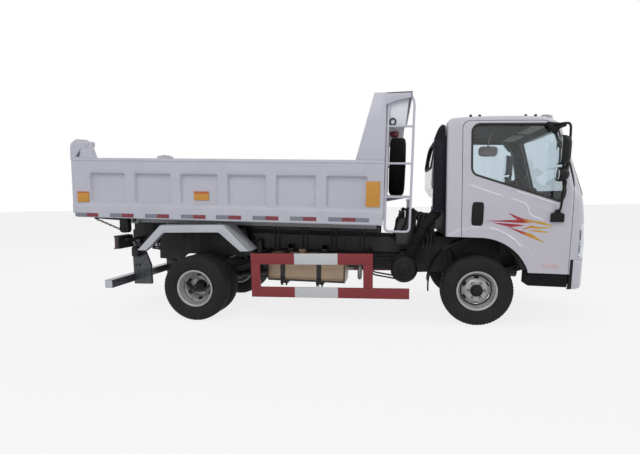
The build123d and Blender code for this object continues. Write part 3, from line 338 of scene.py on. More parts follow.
def coordinates(mesh, field="co"):
    """The places, or the normals, of the mesh's points as an array (n, 3)."""
    values = np.empty(len(mesh.vertices) * 3)
    mesh.vertices.foreach_get(field, values)
    return values.reshape(-1, 3)


def evaluated(thing):
    """A new mesh of the object with its modifiers applied."""
    return bpy.data.meshes.new_from_object(thing.evaluated_get(bpy.context.evaluated_depsgraph_get()))


def carved(name, part, cutters):
    """Mesh of a closed part after each ("DIFFERENCE" or "INTERSECT", closed part) is applied to it."""
    def blank(label, points, faces):
        mesh = bpy.data.meshes.new(label)
        mesh.from_pydata(np.asarray(points).tolist(), [], outwards(np.asarray(points), faces))
        thing = bpy.data.objects.new(label, mesh)
        scene.collection.objects.link(thing)
        return thing
    block = blank(name, *part)
    tools = []
    for operation, cutter in cutters:
        tools.append(blank("cutter", *cutter))
        change = block.modifiers.new("cut", "BOOLEAN")
        change.operation, change.solver, change.object = operation, "EXACT", tools[-1]
    result = evaluated(block)
    for thing in (block, *tools):
        bpy.data.objects.remove(thing)
    return coordinates(result), [list(face.vertices) for face in result.polygons]


def piece(name, parts, body, material, smooth=32, level=True, replaces=()):
    """One object of several (points, faces) parts, shaded smooth below an angle and riding on a body."""
    first, points, faces = 0, [], []
    for part_points, part_faces in parts:
        points.append(np.asarray(part_points, float))
        faces += [[first + i for i in face] for face in outwards(points[-1], part_faces)]
        first += len(part_points)
    points = np.concatenate(points)
    mesh = bpy.data.meshes.new(name)
    mesh.from_pydata((stance(points) if level else points).tolist(), [], faces)
    mesh.polygons.foreach_set("use_smooth", [True] * len(mesh.polygons))
    mesh.set_sharp_from_angle(angle=radians(smooth))
    mesh.materials.append(material)
    thing = bpy.data.objects.new(name, mesh)
    scene.collection.objects.link(thing)
    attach(thing, body)
    if replaces:
        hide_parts(*replaces)
    return thing


def mirrored(parts):
    """The same parts on the other side of the truck, with y of the other sign."""
    return [(np.asarray(points) * (1, -1, 1), faces) for points, faces in parts]


def noise(tree, where, scale, detail=2.0, roughness=0.5):
    """The factor of a noise texture."""
    return add(tree, "ShaderNodeTexNoise", {"Vector": where, "Scale": scale, "Detail": detail,
        "Roughness": roughness}).outputs["Fac"]


def ranged(tree, value, start, end, low, high):
    """The value carried from start .. end to low .. high and kept between them."""
    return add(tree, "ShaderNodeMapRange", {"Value": value, "From Min": start, "From Max": end, "To Min": low,
        "To Max": high}).outputs[0]


def blend(tree, share, first, second, how="MIX"):
    """One colour laid over another by a share."""
    return add(tree, "ShaderNodeMix", {0: share, 6: first, 7: second}, data_type="RGBA", blend_type=how).outputs[2]


def fresh(name):
    """A new material, its emptied node tree and the object's own coordinates."""
    material = bpy.data.materials.new(name)
    tree = emptied(material)
    return material, tree, add(tree, "ShaderNodeTexCoord").outputs["Object"]


def surfaced(tree, sockets):
    """A principled surface with these inputs, wired to the material's output."""
    shader = add(tree, "ShaderNodeBsdfPrincipled", sockets)
    add(tree, "ShaderNodeOutputMaterial", {"Surface": shader.outputs[0]})


def coated(name, colour, rough, dust=0.0, dust_colour="8C8479", coat=0.0, grain=900.0, dent=0.02, metal=0.0,
        mottle=0.06, shine=0.5):
    """A painted, cast or moulded finish: colour mottled by slow noise, dust where the surface looks
    up, roughness that follows both, and a fine bump of the coat's own grain.  On the underride bar
    the colour laid on upward faces is a pale sky tone: a painted reflection there, not dust."""
    material, tree, where = fresh(name)
    slow, fine = noise(tree, where, 3.1, 5.0, 0.6), noise(tree, where, grain)
    shade = ranged(tree, slow, 0.3, 0.7, 1 - mottle, 1 + mottle)
    tone = blend(tree, 1.0, linear(colour), shade, "MULTIPLY")
    roughness = ranged(tree, slow, 0.3, 0.7, rough * 0.85, min(1, rough * 1.2))
    if dust:
        normal = add(tree, "ShaderNodeNewGeometry").outputs["Normal"]
        upward = add(tree, "ShaderNodeSeparateXYZ", {0: normal}).outputs["Z"]
        patch = noise(tree, where, 17.0, 6.0, 0.7)
        lie, cover = ranged(tree, upward, -0.4, 0.9, 0.15, 1.0), ranged(tree, patch, 0.35, 0.7, 0.2 * dust, dust)
        amount = add(tree, "ShaderNodeMath", {0: lie, 1: cover}, operation="MULTIPLY").outputs[0]
        tone = blend(tree, amount, tone, linear(dust_colour))
        roughness = add(tree, "ShaderNodeMath", {0: roughness, 1: amount}, operation="MAXIMUM").outputs[0]
    bump = add(tree, "ShaderNodeBump", {"Strength": dent * 5, "Distance": 0.0006, "Height": fine})
    surfaced(tree, {"Base Color": tone, "Roughness": roughness, "Metallic": metal, "Normal": bump.outputs[0],
        "Specular IOR Level": shine, "Coat Weight": coat, "Coat Roughness": 0.06})
    return material


def finish(node, material):
    """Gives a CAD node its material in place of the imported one."""
    mesh = nodes[node].data
    mesh.materials.clear()
    mesh.materials.append(material)


# Black chassis enamel: satin, dulled by dust, with slight orange peel.
chassis_black = coated("black chassis enamel", "0D0E11", 0.44, dust=0.12, dust_colour="4A4744", grain=260.0,
    dent=0.05)
for name in ("chassis_rails", "tipper_subframe"):
    finish(name, chassis_black)
# Cast and forged iron under thin black paint: rougher, browner.
cast_black = coated("painted iron casting", "121214", 0.62, dust=0.2, dust_colour="55504A", grain=140.0, dent=0.12)
for name in ("engine", "driveline", "leaf_springs", "front_axle_beam", "rear_axle", "knuckle_left", "knuckle_right",
        "tie_rod"):
    finish(name, cast_black)

# ---- Wheels -------------------------------------------------------------------------
# Steel disc wheels, pressed and rolled, sprayed silver grey, with six hand holes and six
# studs; a dark pressed cap closes the front hubs.  The tyres are black rubber moulded
# with five ribs, sipes, shoulder lugs and a ring-marked side wall, greyed by road dust.
tyre_r, tyre_w, rim_r = 0.398, 0.215, 0.205


def round_hub(centre, radius, angle, across):
    """Points at a radius and an angle about a wheel's axis, and at a distance along it from its centre."""
    return spots(centre[0] + radius * np.cos(angle), centre[1] + across, centre[2] + radius * np.sin(angle))


def tyre_shape(centre, out, around=320):
    """Tyre as a surface of revolution, radius = f(across, angle).

    The side wall is a cubic bulge between bead and shoulder with two raised rings; the crown is a
    shallow parabola cut by four zigzag grooves; the shoulder is stepped by lugs, whose edge is a
    square wave of the angle, lugs_round times a turn.
    """
    lugs_round, groove_depth, lug_depth = 64, 0.0085, 0.0035
    half = tyre_w / 2
    wall = np.array(((0.207, -0.07), (0.2085, -0.077), (0.215, -0.08), (0.228, -0.083), (0.245, -0.09),
        (0.262, -0.0972), (0.264, -0.0996), (0.268, -0.1), (0.2705, -0.099), (0.29, -0.1038), (0.31, -0.1068),
        (0.328, -0.1072), (0.33, -0.1086), (0.334, -0.1084), (0.336, -0.1066), (0.356, -0.103), (0.368, -0.0985)))
    shoulder = np.array(((0.376, -0.095), (0.386, -0.089), (0.39, -0.084)))
    grooves = ((-0.052, 0.0034), (-0.018, 0.0046), (0.018, 0.0046), (0.052, 0.0034))
    beside = np.linspace(-0.0085, 0.0085, 8)
    across = np.sort(np.concatenate([place + beside for place, width in grooves]
        + [(-0.08, -0.067, -0.035, 0.0, 0.035, 0.067, 0.08)]))
    crown = spots(tyre_r - 0.0075 * (across / half) ** 2, across)
    profile = np.concatenate((wall, shoulder, crown, (shoulder * (1, -1))[::-1], (wall * (1, -1))[::-1]))
    angle = full_turn(around)
    radius = np.repeat(profile[:, :1], len(angle), 1)
    lateral = np.repeat(profile[:, 1:], len(angle), 1)
    wave = np.clip(np.sin(angle * lugs_round) * 4, -1, 1)
    on_crown = np.abs(lateral) <= 0.0801
    zigzag = 0.0022 * np.clip(np.sin(angle * lugs_round) * 2, -1, 1)[None]
    for place, width in grooves:
        depth = np.clip((width + 0.0016 - np.abs(lateral - place - zigzag)) / 0.0022, 0, 1)
        radius -= groove_depth * depth * on_crown
    sipe = np.clip(np.abs((angle * lugs_round / (2 * pi) * 2) % 1 - 0.5) * -24 + 1.6, 0, 1)[None]
    radius -= 0.004 * sipe * (np.abs(lateral) < 0.048)
    outer = np.clip((np.abs(lateral) - 0.06) / 0.006, 0, 1) * (radius > 0.372)
    radius -= lug_depth * outer * (wave < 0)[None]
    lateral -= np.sign(lateral) * 0.004 * ((profile[:, :1] > 0.371) & (profile[:, :1] < 0.391)) * (wave < 0)[None]
    grid = round_hub(centre, radius, angle, out * lateral)
    inner = np.stack([round_hub(centre, 0.2055, angle, out * y) for y in (0.064, -0.064)])
    return lattice(np.concatenate((grid, inner)), wrap_rows=True, wrap_columns=True)


def rubber(name):
    """Tyre rubber: near-black, dry, greyed on the tread and in patches of the wall by dust, with a
    fine speckled bump."""
    material, tree, where = fresh(name)
    blotch, speck = noise(tree, where, 9.0, 7.0, 0.65), noise(tree, where, 420.0, 3.0)
    dust = ranged(tree, blotch, 0.38, 0.68, 0.02, 0.26)
    tone = blend(tree, dust, linear("101114"), linear("4A4845"))
    bump = add(tree, "ShaderNodeBump", {"Strength": 0.35, "Distance": 0.0008, "Height": speck})
    rough = ranged(tree, blotch, 0.0, 1.0, 0.62, 0.95)
    surfaced(tree, {"Base Color": tone, "Roughness": rough, "Normal": bump.outputs[0], "Specular IOR Level": 0.35})
    return material


flanks = (-1, "right"), (1, "left")
tyre_rubber = rubber("dusty tyre rubber")
wheel_grey = coated("silver-grey sprayed wheel enamel", "B4B2AF", 0.34, dust=0.25, dust_colour="7E736A", coat=0.25,
    grain=500.0, metal=0.25, mottle=0.12)
stud_steel = coated("zinc-plated steel", "8E8D88", 0.35, dust=0.2, metal=0.9, grain=700.0)
hub_black = coated("black hub enamel", "0C0D0F", 0.45, dust=0.06, grain=300.0, shine=0.25)
# A dark ring laid in each wheel's well where the disc meets the rim: painted shade, which the soft lamps don't cast
# there.
well_shade_ring = coated("settled brake dust", "3C3A39", 0.85, grain=300.0, mottle=0.25, shine=0.2)

front_track, rear_track, dual, hub_r = 1.63, 1.546, 0.25, 0.07
front_x, rear_x = 1.817, -1.483


def wheel_face(centre, out, disc, steps=9):
    """Pressed wheel disc: six equal sectors, each a patch stretched between a hand hole's rim and the
    sector's border, point = hole + t (border - hole), dished by a smooth curve of the radius.

    disc is the list of (radius, lateral) points that the dish follows; it ends at the rim's well.
    """
    holes, hole_r, hole_at = 6, 0.022, 0.148
    inner, outer = hub_r, disc[-1][0]
    round_hole = full_turn(36)
    parts = []
    for k in range(holes):
        middle = (k + 0.5) * 2 * pi / holes
        u = np.cos(round_hole) * hole_r * 0.62 + hole_at
        v = np.sin(round_hole) * hole_r / hole_at * 1.45
        square = np.maximum(np.abs(np.cos(round_hole)), np.abs(np.sin(round_hole)))
        ru, rv = np.cos(round_hole) / square, np.sin(round_hole) / square
        edge_r = np.where(ru > 0, hole_at + ru * (outer - hole_at), hole_at + ru * (hole_at - inner))
        edge_v = rv * pi / holes
        t = (np.linspace(0, 1, steps) ** 1.2)[:, None]
        r = u + t * (edge_r - u)
        a = middle + v + t * (edge_v - v)
        y = np.interp(r, [p[0] for p in disc], [p[1] for p in disc])
        front, back = (round_hub(centre, r, a, out * (y - thick)) for thick in (0, 0.009))
        lip = round_hub(centre, r[:1], a[:1], out * (y[:1] - 0.004))
        parts.append(lattice(np.concatenate((front[::-1], lip, back)), wrap_columns=True))
    return parts


def rim_shape(centre, out, reach=0.0825):
    """Rolled rim: its closed section, with a rounded flange at each edge and a drop centre, turned."""
    e, around = reach, 80
    section = np.array(((rim_r + 0.017, -e - 0.001), (rim_r + 0.019, -e - 0.0035), (rim_r + 0.0185, -e - 0.0075),
        (rim_r + 0.015, -e - 0.0095), (rim_r + 0.008, -e - 0.009), (rim_r + 0.001, -e - 0.006),
        (rim_r - 0.006, -e + 0.002), (rim_r - 0.0075, -e + 0.012), (rim_r - 0.024, -0.028), (rim_r - 0.028, -0.022),
        (rim_r - 0.028, 0.022), (rim_r - 0.024, 0.028)))
    section = np.concatenate((section, (section[:8] * (1, -1))[::-1]))
    top = np.array(((rim_r + 0.01, e - 0.0025), (rim_r + 0.0015, e - 0.008), (rim_r - 0.0003, e - 0.012),
        (rim_r - 0.0003, e - 0.024), (rim_r - 0.019, 0.023), (rim_r - 0.019, -0.023), (rim_r - 0.0003, -e + 0.024),
        (rim_r - 0.0003, -e + 0.012), (rim_r + 0.0015, -e + 0.008), (rim_r + 0.01, -e + 0.0025)))
    profile = np.concatenate((section, top)) * (1, out)
    points, quads = turned(profile, centre, (0, 1, 0), around)
    here, last = np.arange(around), (len(profile) - 1) * around
    ahead = np.roll(here, -1)
    join = np.stack((here, ahead, last + ahead, last + here), -1)
    return points, quads + join[:, ::-1].tolist()


def studs_round(centre, out, lateral, circle, count=6, size=0.03, height=0.02):
    """Wheel nuts on their pitch circle, each with the end of its stud."""
    parts = []
    for k in range(count):
        a = k * 2 * pi / count
        spot = np.array(centre) + (circle * cos(a), out * lateral, circle * sin(a))
        parts.append(bolt(spot, (0, out, 0), size, height))
        parts.append(turned(((pole, height + 0.007), (0.0075, height + 0.007), (0.0085, height + 0.005), (0.0085, 0)),
            spot, (0, out, 0), 12))
    return parts


front_dish = ((0.07, 0.0575), (0.086, 0.06), (0.1, 0.06), (0.112, 0.0575), (0.124, 0.05), (0.14, 0.036),
    (0.156, 0.023), (0.17, 0.015), (0.177, 0.013))
outer_dish = ((0.07, -0.002), (0.09, 0.006), (0.104, 0.006), (0.116, 0.01), (0.13, 0.025), (0.146, 0.05),
    (0.16, 0.075), (0.17, 0.09), (0.177, 0.096))
for out, side in flanks:
    hub = (front_x, out * front_track / 2, axle_z)
    body = f"wheel_front_{side}"
    piece(f"tyre_front_{side}_tread", [tyre_shape(hub, out)], body, tyre_rubber, 28, False,
        [f"tyre_front_{side}"])
    piece(f"wheel_front_{side}_disc", [rim_shape(hub, out)] + wheel_face(hub, out, front_dish), body, wheel_grey,
        40, False)
    # Painted shade: a dark ring in the front wheel's well.
    piece(f"wheel_front_{side}_painted_shade", [turned(((0.1615, 0.0208), (0.17, 0.0158), (0.1768, 0.0138), (0.1768, 0.012),
        (0.1615, 0.018)), hub, (0, out, 0), 72)], body, well_shade_ring, 40)
    drum = turned(((0.034, -0.1), (0.16, -0.1), (0.16, -0.014), (0.15, -0.008), (0.09, -0.006), (0.086, 0.05),
        (0.034, 0.05)), hub, (0, out, 0), 48)
    piece(f"wheel_front_{side}_hub", [drum, turned(((pole, 0.106), (0.02, 0.1055), (0.036, 0.103), (0.044, 0.098),
        (0.047, 0.09), (0.048, 0.068), (0.066, 0.0655), (0.069, 0.063), (0.069, 0.05), (0.038, 0.05), (0.038, 0.056),
        (pole, 0.056)), hub, (0, out, 0), 40)], body, hub_black, 35, False, [f"rim_front_{side}"])
    piece(f"wheel_front_{side}_nuts", studs_round(hub, out, 0.059, 0.092), body, stud_steel, 30, False)
    hub = (rear_x, out * rear_track / 2, axle_z)
    body = f"wheels_rear_{side}"
    far, near = (rear_x, hub[1] + out * dual / 2, axle_z), (rear_x, hub[1] - out * dual / 2, axle_z)
    piece(f"tyre_rear_{side}_outer", [tyre_shape(far, out)], body, tyre_rubber, 28, False,
        [f"tyres_rear_{side}"])
    piece(f"tyre_rear_{side}_inner", [tyre_shape(near, out, 224)], body, tyre_rubber, 28, False)
    dish = [(r, y - dual / 2 + 0.012) for r, y in outer_dish]
    piece(f"wheels_rear_{side}_discs", [rim_shape(far, out), rim_shape(near, out)] + wheel_face(far, out, dish)
        + wheel_face(near, out, [(r, dual / 2 - 0.012 - y) for r, y in outer_dish]), body, wheel_grey,
        40, False)
    # Painted shade: a dark ring in the rear wheel's well.
    piece(f"wheels_rear_{side}_painted_shade", [turned([(r, y + k) for k in (0.0012, -0.003) for r,
        y in dish[5:][::(1 if k > 0 else -1)]], far, (0, out, 0), 72)], body, well_shade_ring, 40)
    drum = turned(((0.034, -0.15), (0.16, -0.15), (0.16, -0.044), (0.15, -0.036), (0.085, -0.034), (0.083, 0.01),
        (0.06, 0.014), (0.056, 0.06), (0.05, 0.068), (pole, 0.07)), hub, (0, out, 0), 48)
    piece(f"wheels_rear_{side}_hub", [drum] + [bolt(np.array(hub) + (0.046 * cos(a), out * 0.068, 0.046 * sin(a)),
        (0, out, 0), 0.014, 0.009) for a in np.arange(8) * pi / 4], body, hub_black, 35, False,
        [f"rims_rear_{side}"])
    piece(f"wheels_rear_{side}_nuts", studs_round(hub, out, 0.012, 0.092), body, stud_steel, 30, False)

# ---- Rivets, springs, cables --------------------------------------------------------
# Pan-head rivets in pairs where each cross-member meets the rails, U-bolts over the
# subframe, sprung leaves in stacks with rebound clips, and the brake line and harness
# clipped along the right-hand rail.
rail_face = 0.3783  # the outer face of a chassis rail
rivets, bolt_y = [], -0.392
for x in (-2.6, -1.9, -1.05, 0.3, 1.15, 2.3):
    for dx in (-0.03, 0.03):
        for z in (0.775, 0.815, 0.855, 0.89):
            rivets.append(turned(((pole, 0.007), (0.005, 0.0065), (0.009, 0.003), (0.01, 0.0), (0.01, -0.002)),
                (x + dx, -0.378, z), (0, -1, 0), 12))
for x in (-2.3, -0.62, -0.25, 0.12, 0.48):
    for dx in (-0.028, 0.028):
        rivets.append(tube(((x + dx, bolt_y, 0.715), (x + dx, bolt_y, 1.0), (x + dx, -0.35, 1.018)), 0.008, 8))
        rivets.append(bolt((x + dx, bolt_y, 0.724), (0, 0, -1), 0.024, 0.018))
    rivets.append(brick(about(x, 0.048), (-0.404, -0.378), (0.724, 0.738), 0.002))
piece("rivets_and_u_bolts", rivets + mirrored(rivets), "chassis", chassis_black, 35)

lines, clip_pitch = [], 0.53
for z, y, r, wave in ((0.968, -0.386, 0.011, 0.004), (0.943, -0.388, 0.008, 0.003), (0.7, -0.39, 0.014, 0.005),
        (0.672, -0.4, 0.01, 0.006), (0.93, -0.392, 0.006, 0.002)):
    x = np.linspace(-2.35, 1.36, 75)
    droop = wave * np.abs(np.sin((x + 2.35) * pi / clip_pitch)) + wave * np.sin(x * 9 + z * 40)
    lines.append(tube(spots(x, y + 0.003 * np.sin(x * 5 + z * 9), z - droop), r, 10))
for x in np.arange(-2.25, 1.3, clip_pitch):
    lines.append(brick(about(x, 0.01), (-0.412, -0.379), (0.655, 0.715), 0.002))
    lines.append(brick(about(x, 0.01), (-0.404, -0.379), (0.92, 0.985), 0.002))
harness_black = coated("corrugated harness sleeve", "0D0D10", 0.65, dust=0.12, grain=700.0, dent=0.1)
piece("brake_lines_and_harness", lines, "chassis", harness_black, 40)

# Spring leaves as curved bars, each shorter than the one above, with clips and U-bolts.
leaves = []
for x0, y0, seat, half, rise, count in ((front_x, 0.345, 0.4665, 0.6, 0.11, 6), (rear_x, 0.43, 0.598, 0.65, 0.19, 9)):
    for side in (-1, 1):
        for k in range(count):
            reach = half * (1.0 - 0.098 * k if count == 9 else 1.0 - 0.14 * k)
            t = np.linspace(-1, 1, 21)
            depth = 0.08 / count
            low = seat + rise * (t * reach / half) ** 2 + (count - 1 - k) * depth + 0.0006
            path = spots(x0 + t * reach, side * y0, low)
            ring = np.array([(0, -0.0365, 0), (0, 0.0365, 0), (0, 0.0365, depth * 0.86), (0, -0.0365, depth * 0.86)])
            points, quads = lattice(path[:, None] + ring[None], wrap_columns=True)
            end = len(points) - 4
            leaves.append((points, quads + [[0, 1, 2, 3], [end, end + 1, end + 2, end + 3]]))
        for dx in (-0.075, 0.075):
            for y in (-0.046, 0.046):
                leaves.append(tube(((x0 + dx, side * y0 + y, seat - 0.12), (x0 + dx, side * y0 + y, seat + 0.095)),
                    0.009, 8))
                leaves.append(bolt((x0 + dx, side * y0 + y, seat - 0.095), (0, 0, -1), 0.026, 0.02))
            leaves.append(tube(((x0 + dx, side * y0 - 0.046, seat + 0.094),
                (x0 + dx, side * y0 + 0.046, seat + 0.094)), 0.009, 8))
        leaves.append(brick(about(x0, 0.1), sorted((side * (y0 - 0.06), side * (y0 + 0.06))),
            (seat + 0.08, seat + 0.092), 0.003))
spring_iron = coated("oiled spring steel", "171617", 0.5, dust=0.2, dust_colour="5A534A", grain=200.0, dent=0.1)
piece("leaf_stacks", leaves, "chassis", spring_iron, 30)

# Dampers between the rails and the axles.
dampers = []
for x0, y0, low, high in ((1.64, 0.47, 0.47, 0.8), (-1.64, 0.35, 0.46, 0.7)):
    for side in (-1, 1):
        base, end = np.array((x0, side * y0, low)), np.array((x0 - 0.09, side * (y0 - 0.07), high))
        unit = (end - base) / np.linalg.norm(end - base)
        dampers.append(tube((base, base + unit * 0.2), 0.03, 18))
        dampers.append(tube((base + unit * 0.16, end), 0.036, 18))
        dampers.append(tube((end, end + unit * 0.02), 0.014, 10))
piece("dampers", dampers, "chassis", cast_black, 40)

# ---- Side guards --------------------------------------------------------------------
# Box-section side rails painted in red with white middle lengths, on black brackets
# bolted to the chassis rails.
guard_red = coated("red guard enamel", "861820", 0.42, dust=0.07, dust_colour="6A4F4C", coat=0.25, grain=240.0,
    dent=0.05, mottle=0.1)
guard_white = coated("white guard enamel", "D9D8D6", 0.42, dust=0.25, coat=0.25, grain=240.0, dent=0.05)
near, far, low_bar, high_bar, post = 0.966, 1.0, (0.312, 0.432), (0.7, 0.828), 0.108
first, last, toe, white = -0.765, 0.66, 1.068, (-0.245, 0.262)
reds, whites, brackets = [], [], []
for z in (low_bar, high_bar):
    for x in ((first, white[0]), (white[1], toe if z is low_bar else last)):
        reds.append(brick(x, (-far, -near), z, 0.004))
    whites.append(brick(white, (-far - 0.0004, -near), z, 0.004))
for x in (first, last - post):
    reds.append(brick((x, x + post), (-far + 0.0004, -near), (low_bar[1], high_bar[0]), 0.004))
    reds.append(brick((x + 0.012, x + post - 0.012), (-near, -near + 0.01), (low_bar[0] + 0.01, high_bar[1] - 0.01)))
    brackets.append(brick((x + 0.03, x + 0.07), (-near, -0.378), (0.77, 0.815)))
    brackets.append(brick((x + 0.03, x + 0.07), (-0.39, -rail_face), (0.77, 0.93)))
    brackets += [bolt((x + 0.05, -0.39, z), (0, -1, 0), 0.024, 0.012) for z in (0.84, 0.9)]
    reds += [bolt((x + 0.054, -far + 0.002, z), (0, -1, 0), 0.02, 0.008) for z in (0.345, 0.4, 0.735, 0.795)]
for parts, name, paint, slot in ((reds, "side_guard_red", guard_red, "guard_paint"),
        (whites, "side_guard_white", guard_white, "guard_paint"),
        (brackets, "side_guard_brackets", chassis_black, "frame_black")):
    piece(name, parts + mirrored(parts), "chassis", paint, 35, False,
        ["side_guards"] if name.endswith("red") else ())

# ---- Rear mudguards, underride bar, tail lamps --------------------------------------
# Folded steel mudguards with a turned-down lip; a square tube with plastic end caps on
# drop plates; lamp housings with ribbed red, amber and clear lenses facing back.
fender_grey = coated("pale grey mudguard enamel", "CDD0D4", 0.4, dust=0.35, coat=0.2, grain=230.0, dent=0.06)
x0, tops, tip, inner_y, outer_y, sheet = rear_x, 1.172, 0.865, 0.7, 1.016, 0.008
outline = [(x0 - 0.7, tip), (x0 - 0.385, tops), (x0 + 0.415, tops), (x0 + 0.715, tip - 0.01)]
inside = [(x0 + 0.704, tip - 0.01), (x0 + 0.41, tops - sheet), (x0 - 0.38, tops - sheet), (x0 - 0.689, tip)]
lip = [(x0 + 0.61, tip - 0.01), (x0 + 0.35, tops - 0.088), (x0 - 0.355, tops - 0.088), (x0 - 0.595, tip)]
guards = [plate(eased(outline, 0.02, 4).tolist() + eased(inside, 0.02, 4).tolist(), inner_y, outer_y, 0.0015),
    plate(eased(outline, 0.02, 4).tolist() + eased(lip, 0.03, 4).tolist(), outer_y - 0.006, outer_y, 0.0015)]
rim = eased([(x - 0.004 * np.sign(x - x0), z) for x, z in lip][::-1], 0.03, 6)
guards.append(tube(spots(rim[:, 0], outer_y - 0.006, rim[:, 1]), 0.007, 8))
for x in about(x0, 0.33):
    guards.append(tube(((x, 0.39, tops - 0.04), (x, outer_y - 0.03, tops - 0.04)), 0.018, 14))
    guards.append(brick(about(x, 0.015), (inner_y + 0.02, outer_y - 0.06), (tops - 0.04, tops - 0.006)))
    guards.append(brick(about(x, 0.025), (rail_face, 0.392), (tops - 0.22, tops - 0.015)))
    guards += [bolt((x, y, tops), (0, 0, 1), 0.018, 0.009) for y in (inner_y + 0.06, outer_y - 0.09)]
piece("rear_mudguards", guards + mirrored(guards), "chassis", fender_grey, 35, False,
    ["rear_fenders"])

caps, dark_bolts = [], []
# Painted sky reflection: the pale bluish grey laid on the bar's upward faces through the dust mask stands for the sky
# mirrored there, not dust.
finish("underride_bar", coated("satin black tube enamel", "121317", 0.3, dust=0.5, dust_colour="B4B8C4", coat=0.5,
    grain=260.0, dent=0.04))
for side in (-1, 1):
    caps.append(brick((-2.688, -2.592), flank(side, 0.94, 0.946), (0.382, 0.478), 0.004))
    for z in (0.6, 0.72, 0.84):
        for x in (-2.555, -2.505):
            dark_bolts.append(bolt((x, side * 0.455, z), (0, side, 0), 0.024, 0.012))
cap_grey = coated("pale grey polyethylene cap", "D3D6DC", 0.55, dust=0.2, grain=500.0)
piece("underride_end_caps", caps, "chassis", cap_grey, 35, False)
piece("drop_plate_bolts", dark_bolts, "chassis", chassis_black, 35, False)

lamp_red, lamp_amber, lamp_white = (coated(f"ribbed {word} acrylic", colour, rough, coat=0.9, grain=80.0, dent=0.25,
    mottle=0.03) for word, colour, rough in (("red", "8E0F12", 0.14), ("amber", "C96A0C", 0.14),
    ("clear", "D5D8DC", 0.12)))
body, red, orange, plain, lamp_back = [], [], [], [], -2.5855
for side in (-1, 1):
    body.append(brick((-2.575, -2.525), flank(side, 0.56, 0.88), (0.712, 0.872), 0.01))
    body.append(brick((-2.525, -2.485), flank(side, rail_face, 0.76), (0.8, 0.835), 0.003))
    body += [brick((lamp_back, -2.573), flank(side, 0.556, 0.884), z, 0.003)
        for z in ((0.708, 0.716), (0.868, 0.876))]
    for low, high, lens in ((0.566, 0.664, plain), (0.67, 0.772, orange), (0.778, 0.874, red)):
        lens.append(brick((-2.585, -2.572), flank(side, low, high), (0.718, 0.866), 0.006))
        lens += [tube(((lamp_back, side * (low + 0.006), z), (lamp_back, side * (high - 0.006), z)), 0.0022, 6)
            for z in np.linspace(0.728, 0.856, 15)]
    body += [turned(((pole, 0.004), (0.006, 0.003), (0.007, 0.0)), (lamp_back, side * y, z), (-1, 0, 0), 12)
        for y in (0.562, 0.878) for z in (0.722, 0.862)]
dark_housing = coated("black lamp housing", "19191B", 0.5, dust=0.3, grain=420.0, dent=0.06)
piece("tail_lamp_housings", body, "chassis", dark_housing, 40, True, ["tail_lamps"])
for name, lens, look in (("tail_lamp_red", red, lamp_red), ("tail_lamp_amber", orange, lamp_amber),
        ("tail_lamp_clear", plain, lamp_white)):
    piece(name, lens, "chassis", look, 40)

# ---- Fuel tank, battery box, air tank -----------------------------------------------
# A pressed steel tank with a rolled seam round each end, filler neck and cap, held by
# straps, with a black strip along its lower outer edge as painted shade; a moulded
# battery box; a painted air reservoir with its drain.
tank_metal = coated("bronze-primed tank steel", "B29A80", 0.36, dust=0.3, dust_colour="93806C", metal=0.3,
    grain=180.0, dent=0.06, mottle=0.14)


def rounded(x, z, r, steps=6):
    """Outline of a rectangle whose corners are arcs of radius r."""
    turn = np.linspace(0, pi / 2, steps)
    corners = ((x[1] - r, z[1] - r, 0), (x[0] + r, z[1] - r, 1), (x[0] + r, z[0] + r, 2), (x[1] - r, z[0] + r, 3))
    return np.concatenate([spots(cx + r * np.cos(turn + k * pi / 2), cz + r * np.sin(turn + k * pi / 2)) for cx, cz,
        k in corners])


tank_y, tank_z = (-0.86, -0.47), (0.4, 0.72)


def tank_hoop(x, grow, r, half, edge):
    """A flat hoop round the tank at x: the tank's section grown, with corners of radius r."""
    outline = rounded((tank_y[0] - grow, tank_y[1] + grow), (tank_z[0] - grow, tank_z[1] + grow), r)
    return plate(outline, x - half, x + half, edge, "x")


tank = [plate(rounded(tank_y, tank_z, 0.06), -0.616, 0.326, 0.014, "x")]
for z in (0.47, 0.56, 0.65):
    tank.append(brick((-0.565, 0.275), (-0.8625, -0.855), about(z, 0.012), 0.0024))
tank.append(turned(((pole, 0.034), (0.04, 0.033), (0.045, 0.028), (0.045, 0.006), (0.034, 0.0), (0.034, -0.02)),
    (-0.22, -0.7, 0.742), (0, 0, 1), 28))
piece("fuel_tank_body", tank, "chassis", tank_metal, 30, True, ["fuel_tank"])
straps = [tank_hoop(x, 0.005, 0.064, 0.006, 0.003) for x in (-0.604, 0.314)]
# Painted shade: a black tube along the tank's lower outer edge stands for the shade under it.
straps.append(tube(((-0.604, -0.846, 0.4135), (0.314, -0.846, 0.4135)), 0.01, 10))
for x in (-0.423, 0.014):
    straps.append(tank_hoop(x, 0.01, 0.07, 0.0275, 0.002))
    straps.append(brick(about(x, 0.03), (-0.466, -rail_face), (0.75, 0.8)))
    straps.append(brick(about(x, 0.03), (-0.466, -0.44), (0.47, 0.8)))
    straps.append(brick(about(x, 0.045), (-0.8, -0.44), (0.364, 0.392), 0.003))
    straps += [bolt((x + dx, -0.79, 0.364), (0, 0, -1), 0.02, 0.026) for dx in (-0.03, 0.03)]
    straps.append(tube(((x, -0.872, 0.46), (x, -0.876, 0.4), (x, -0.845, 0.352)), 0.006, 8))
piece("fuel_tank_straps", straps, "chassis", chassis_black, 35)

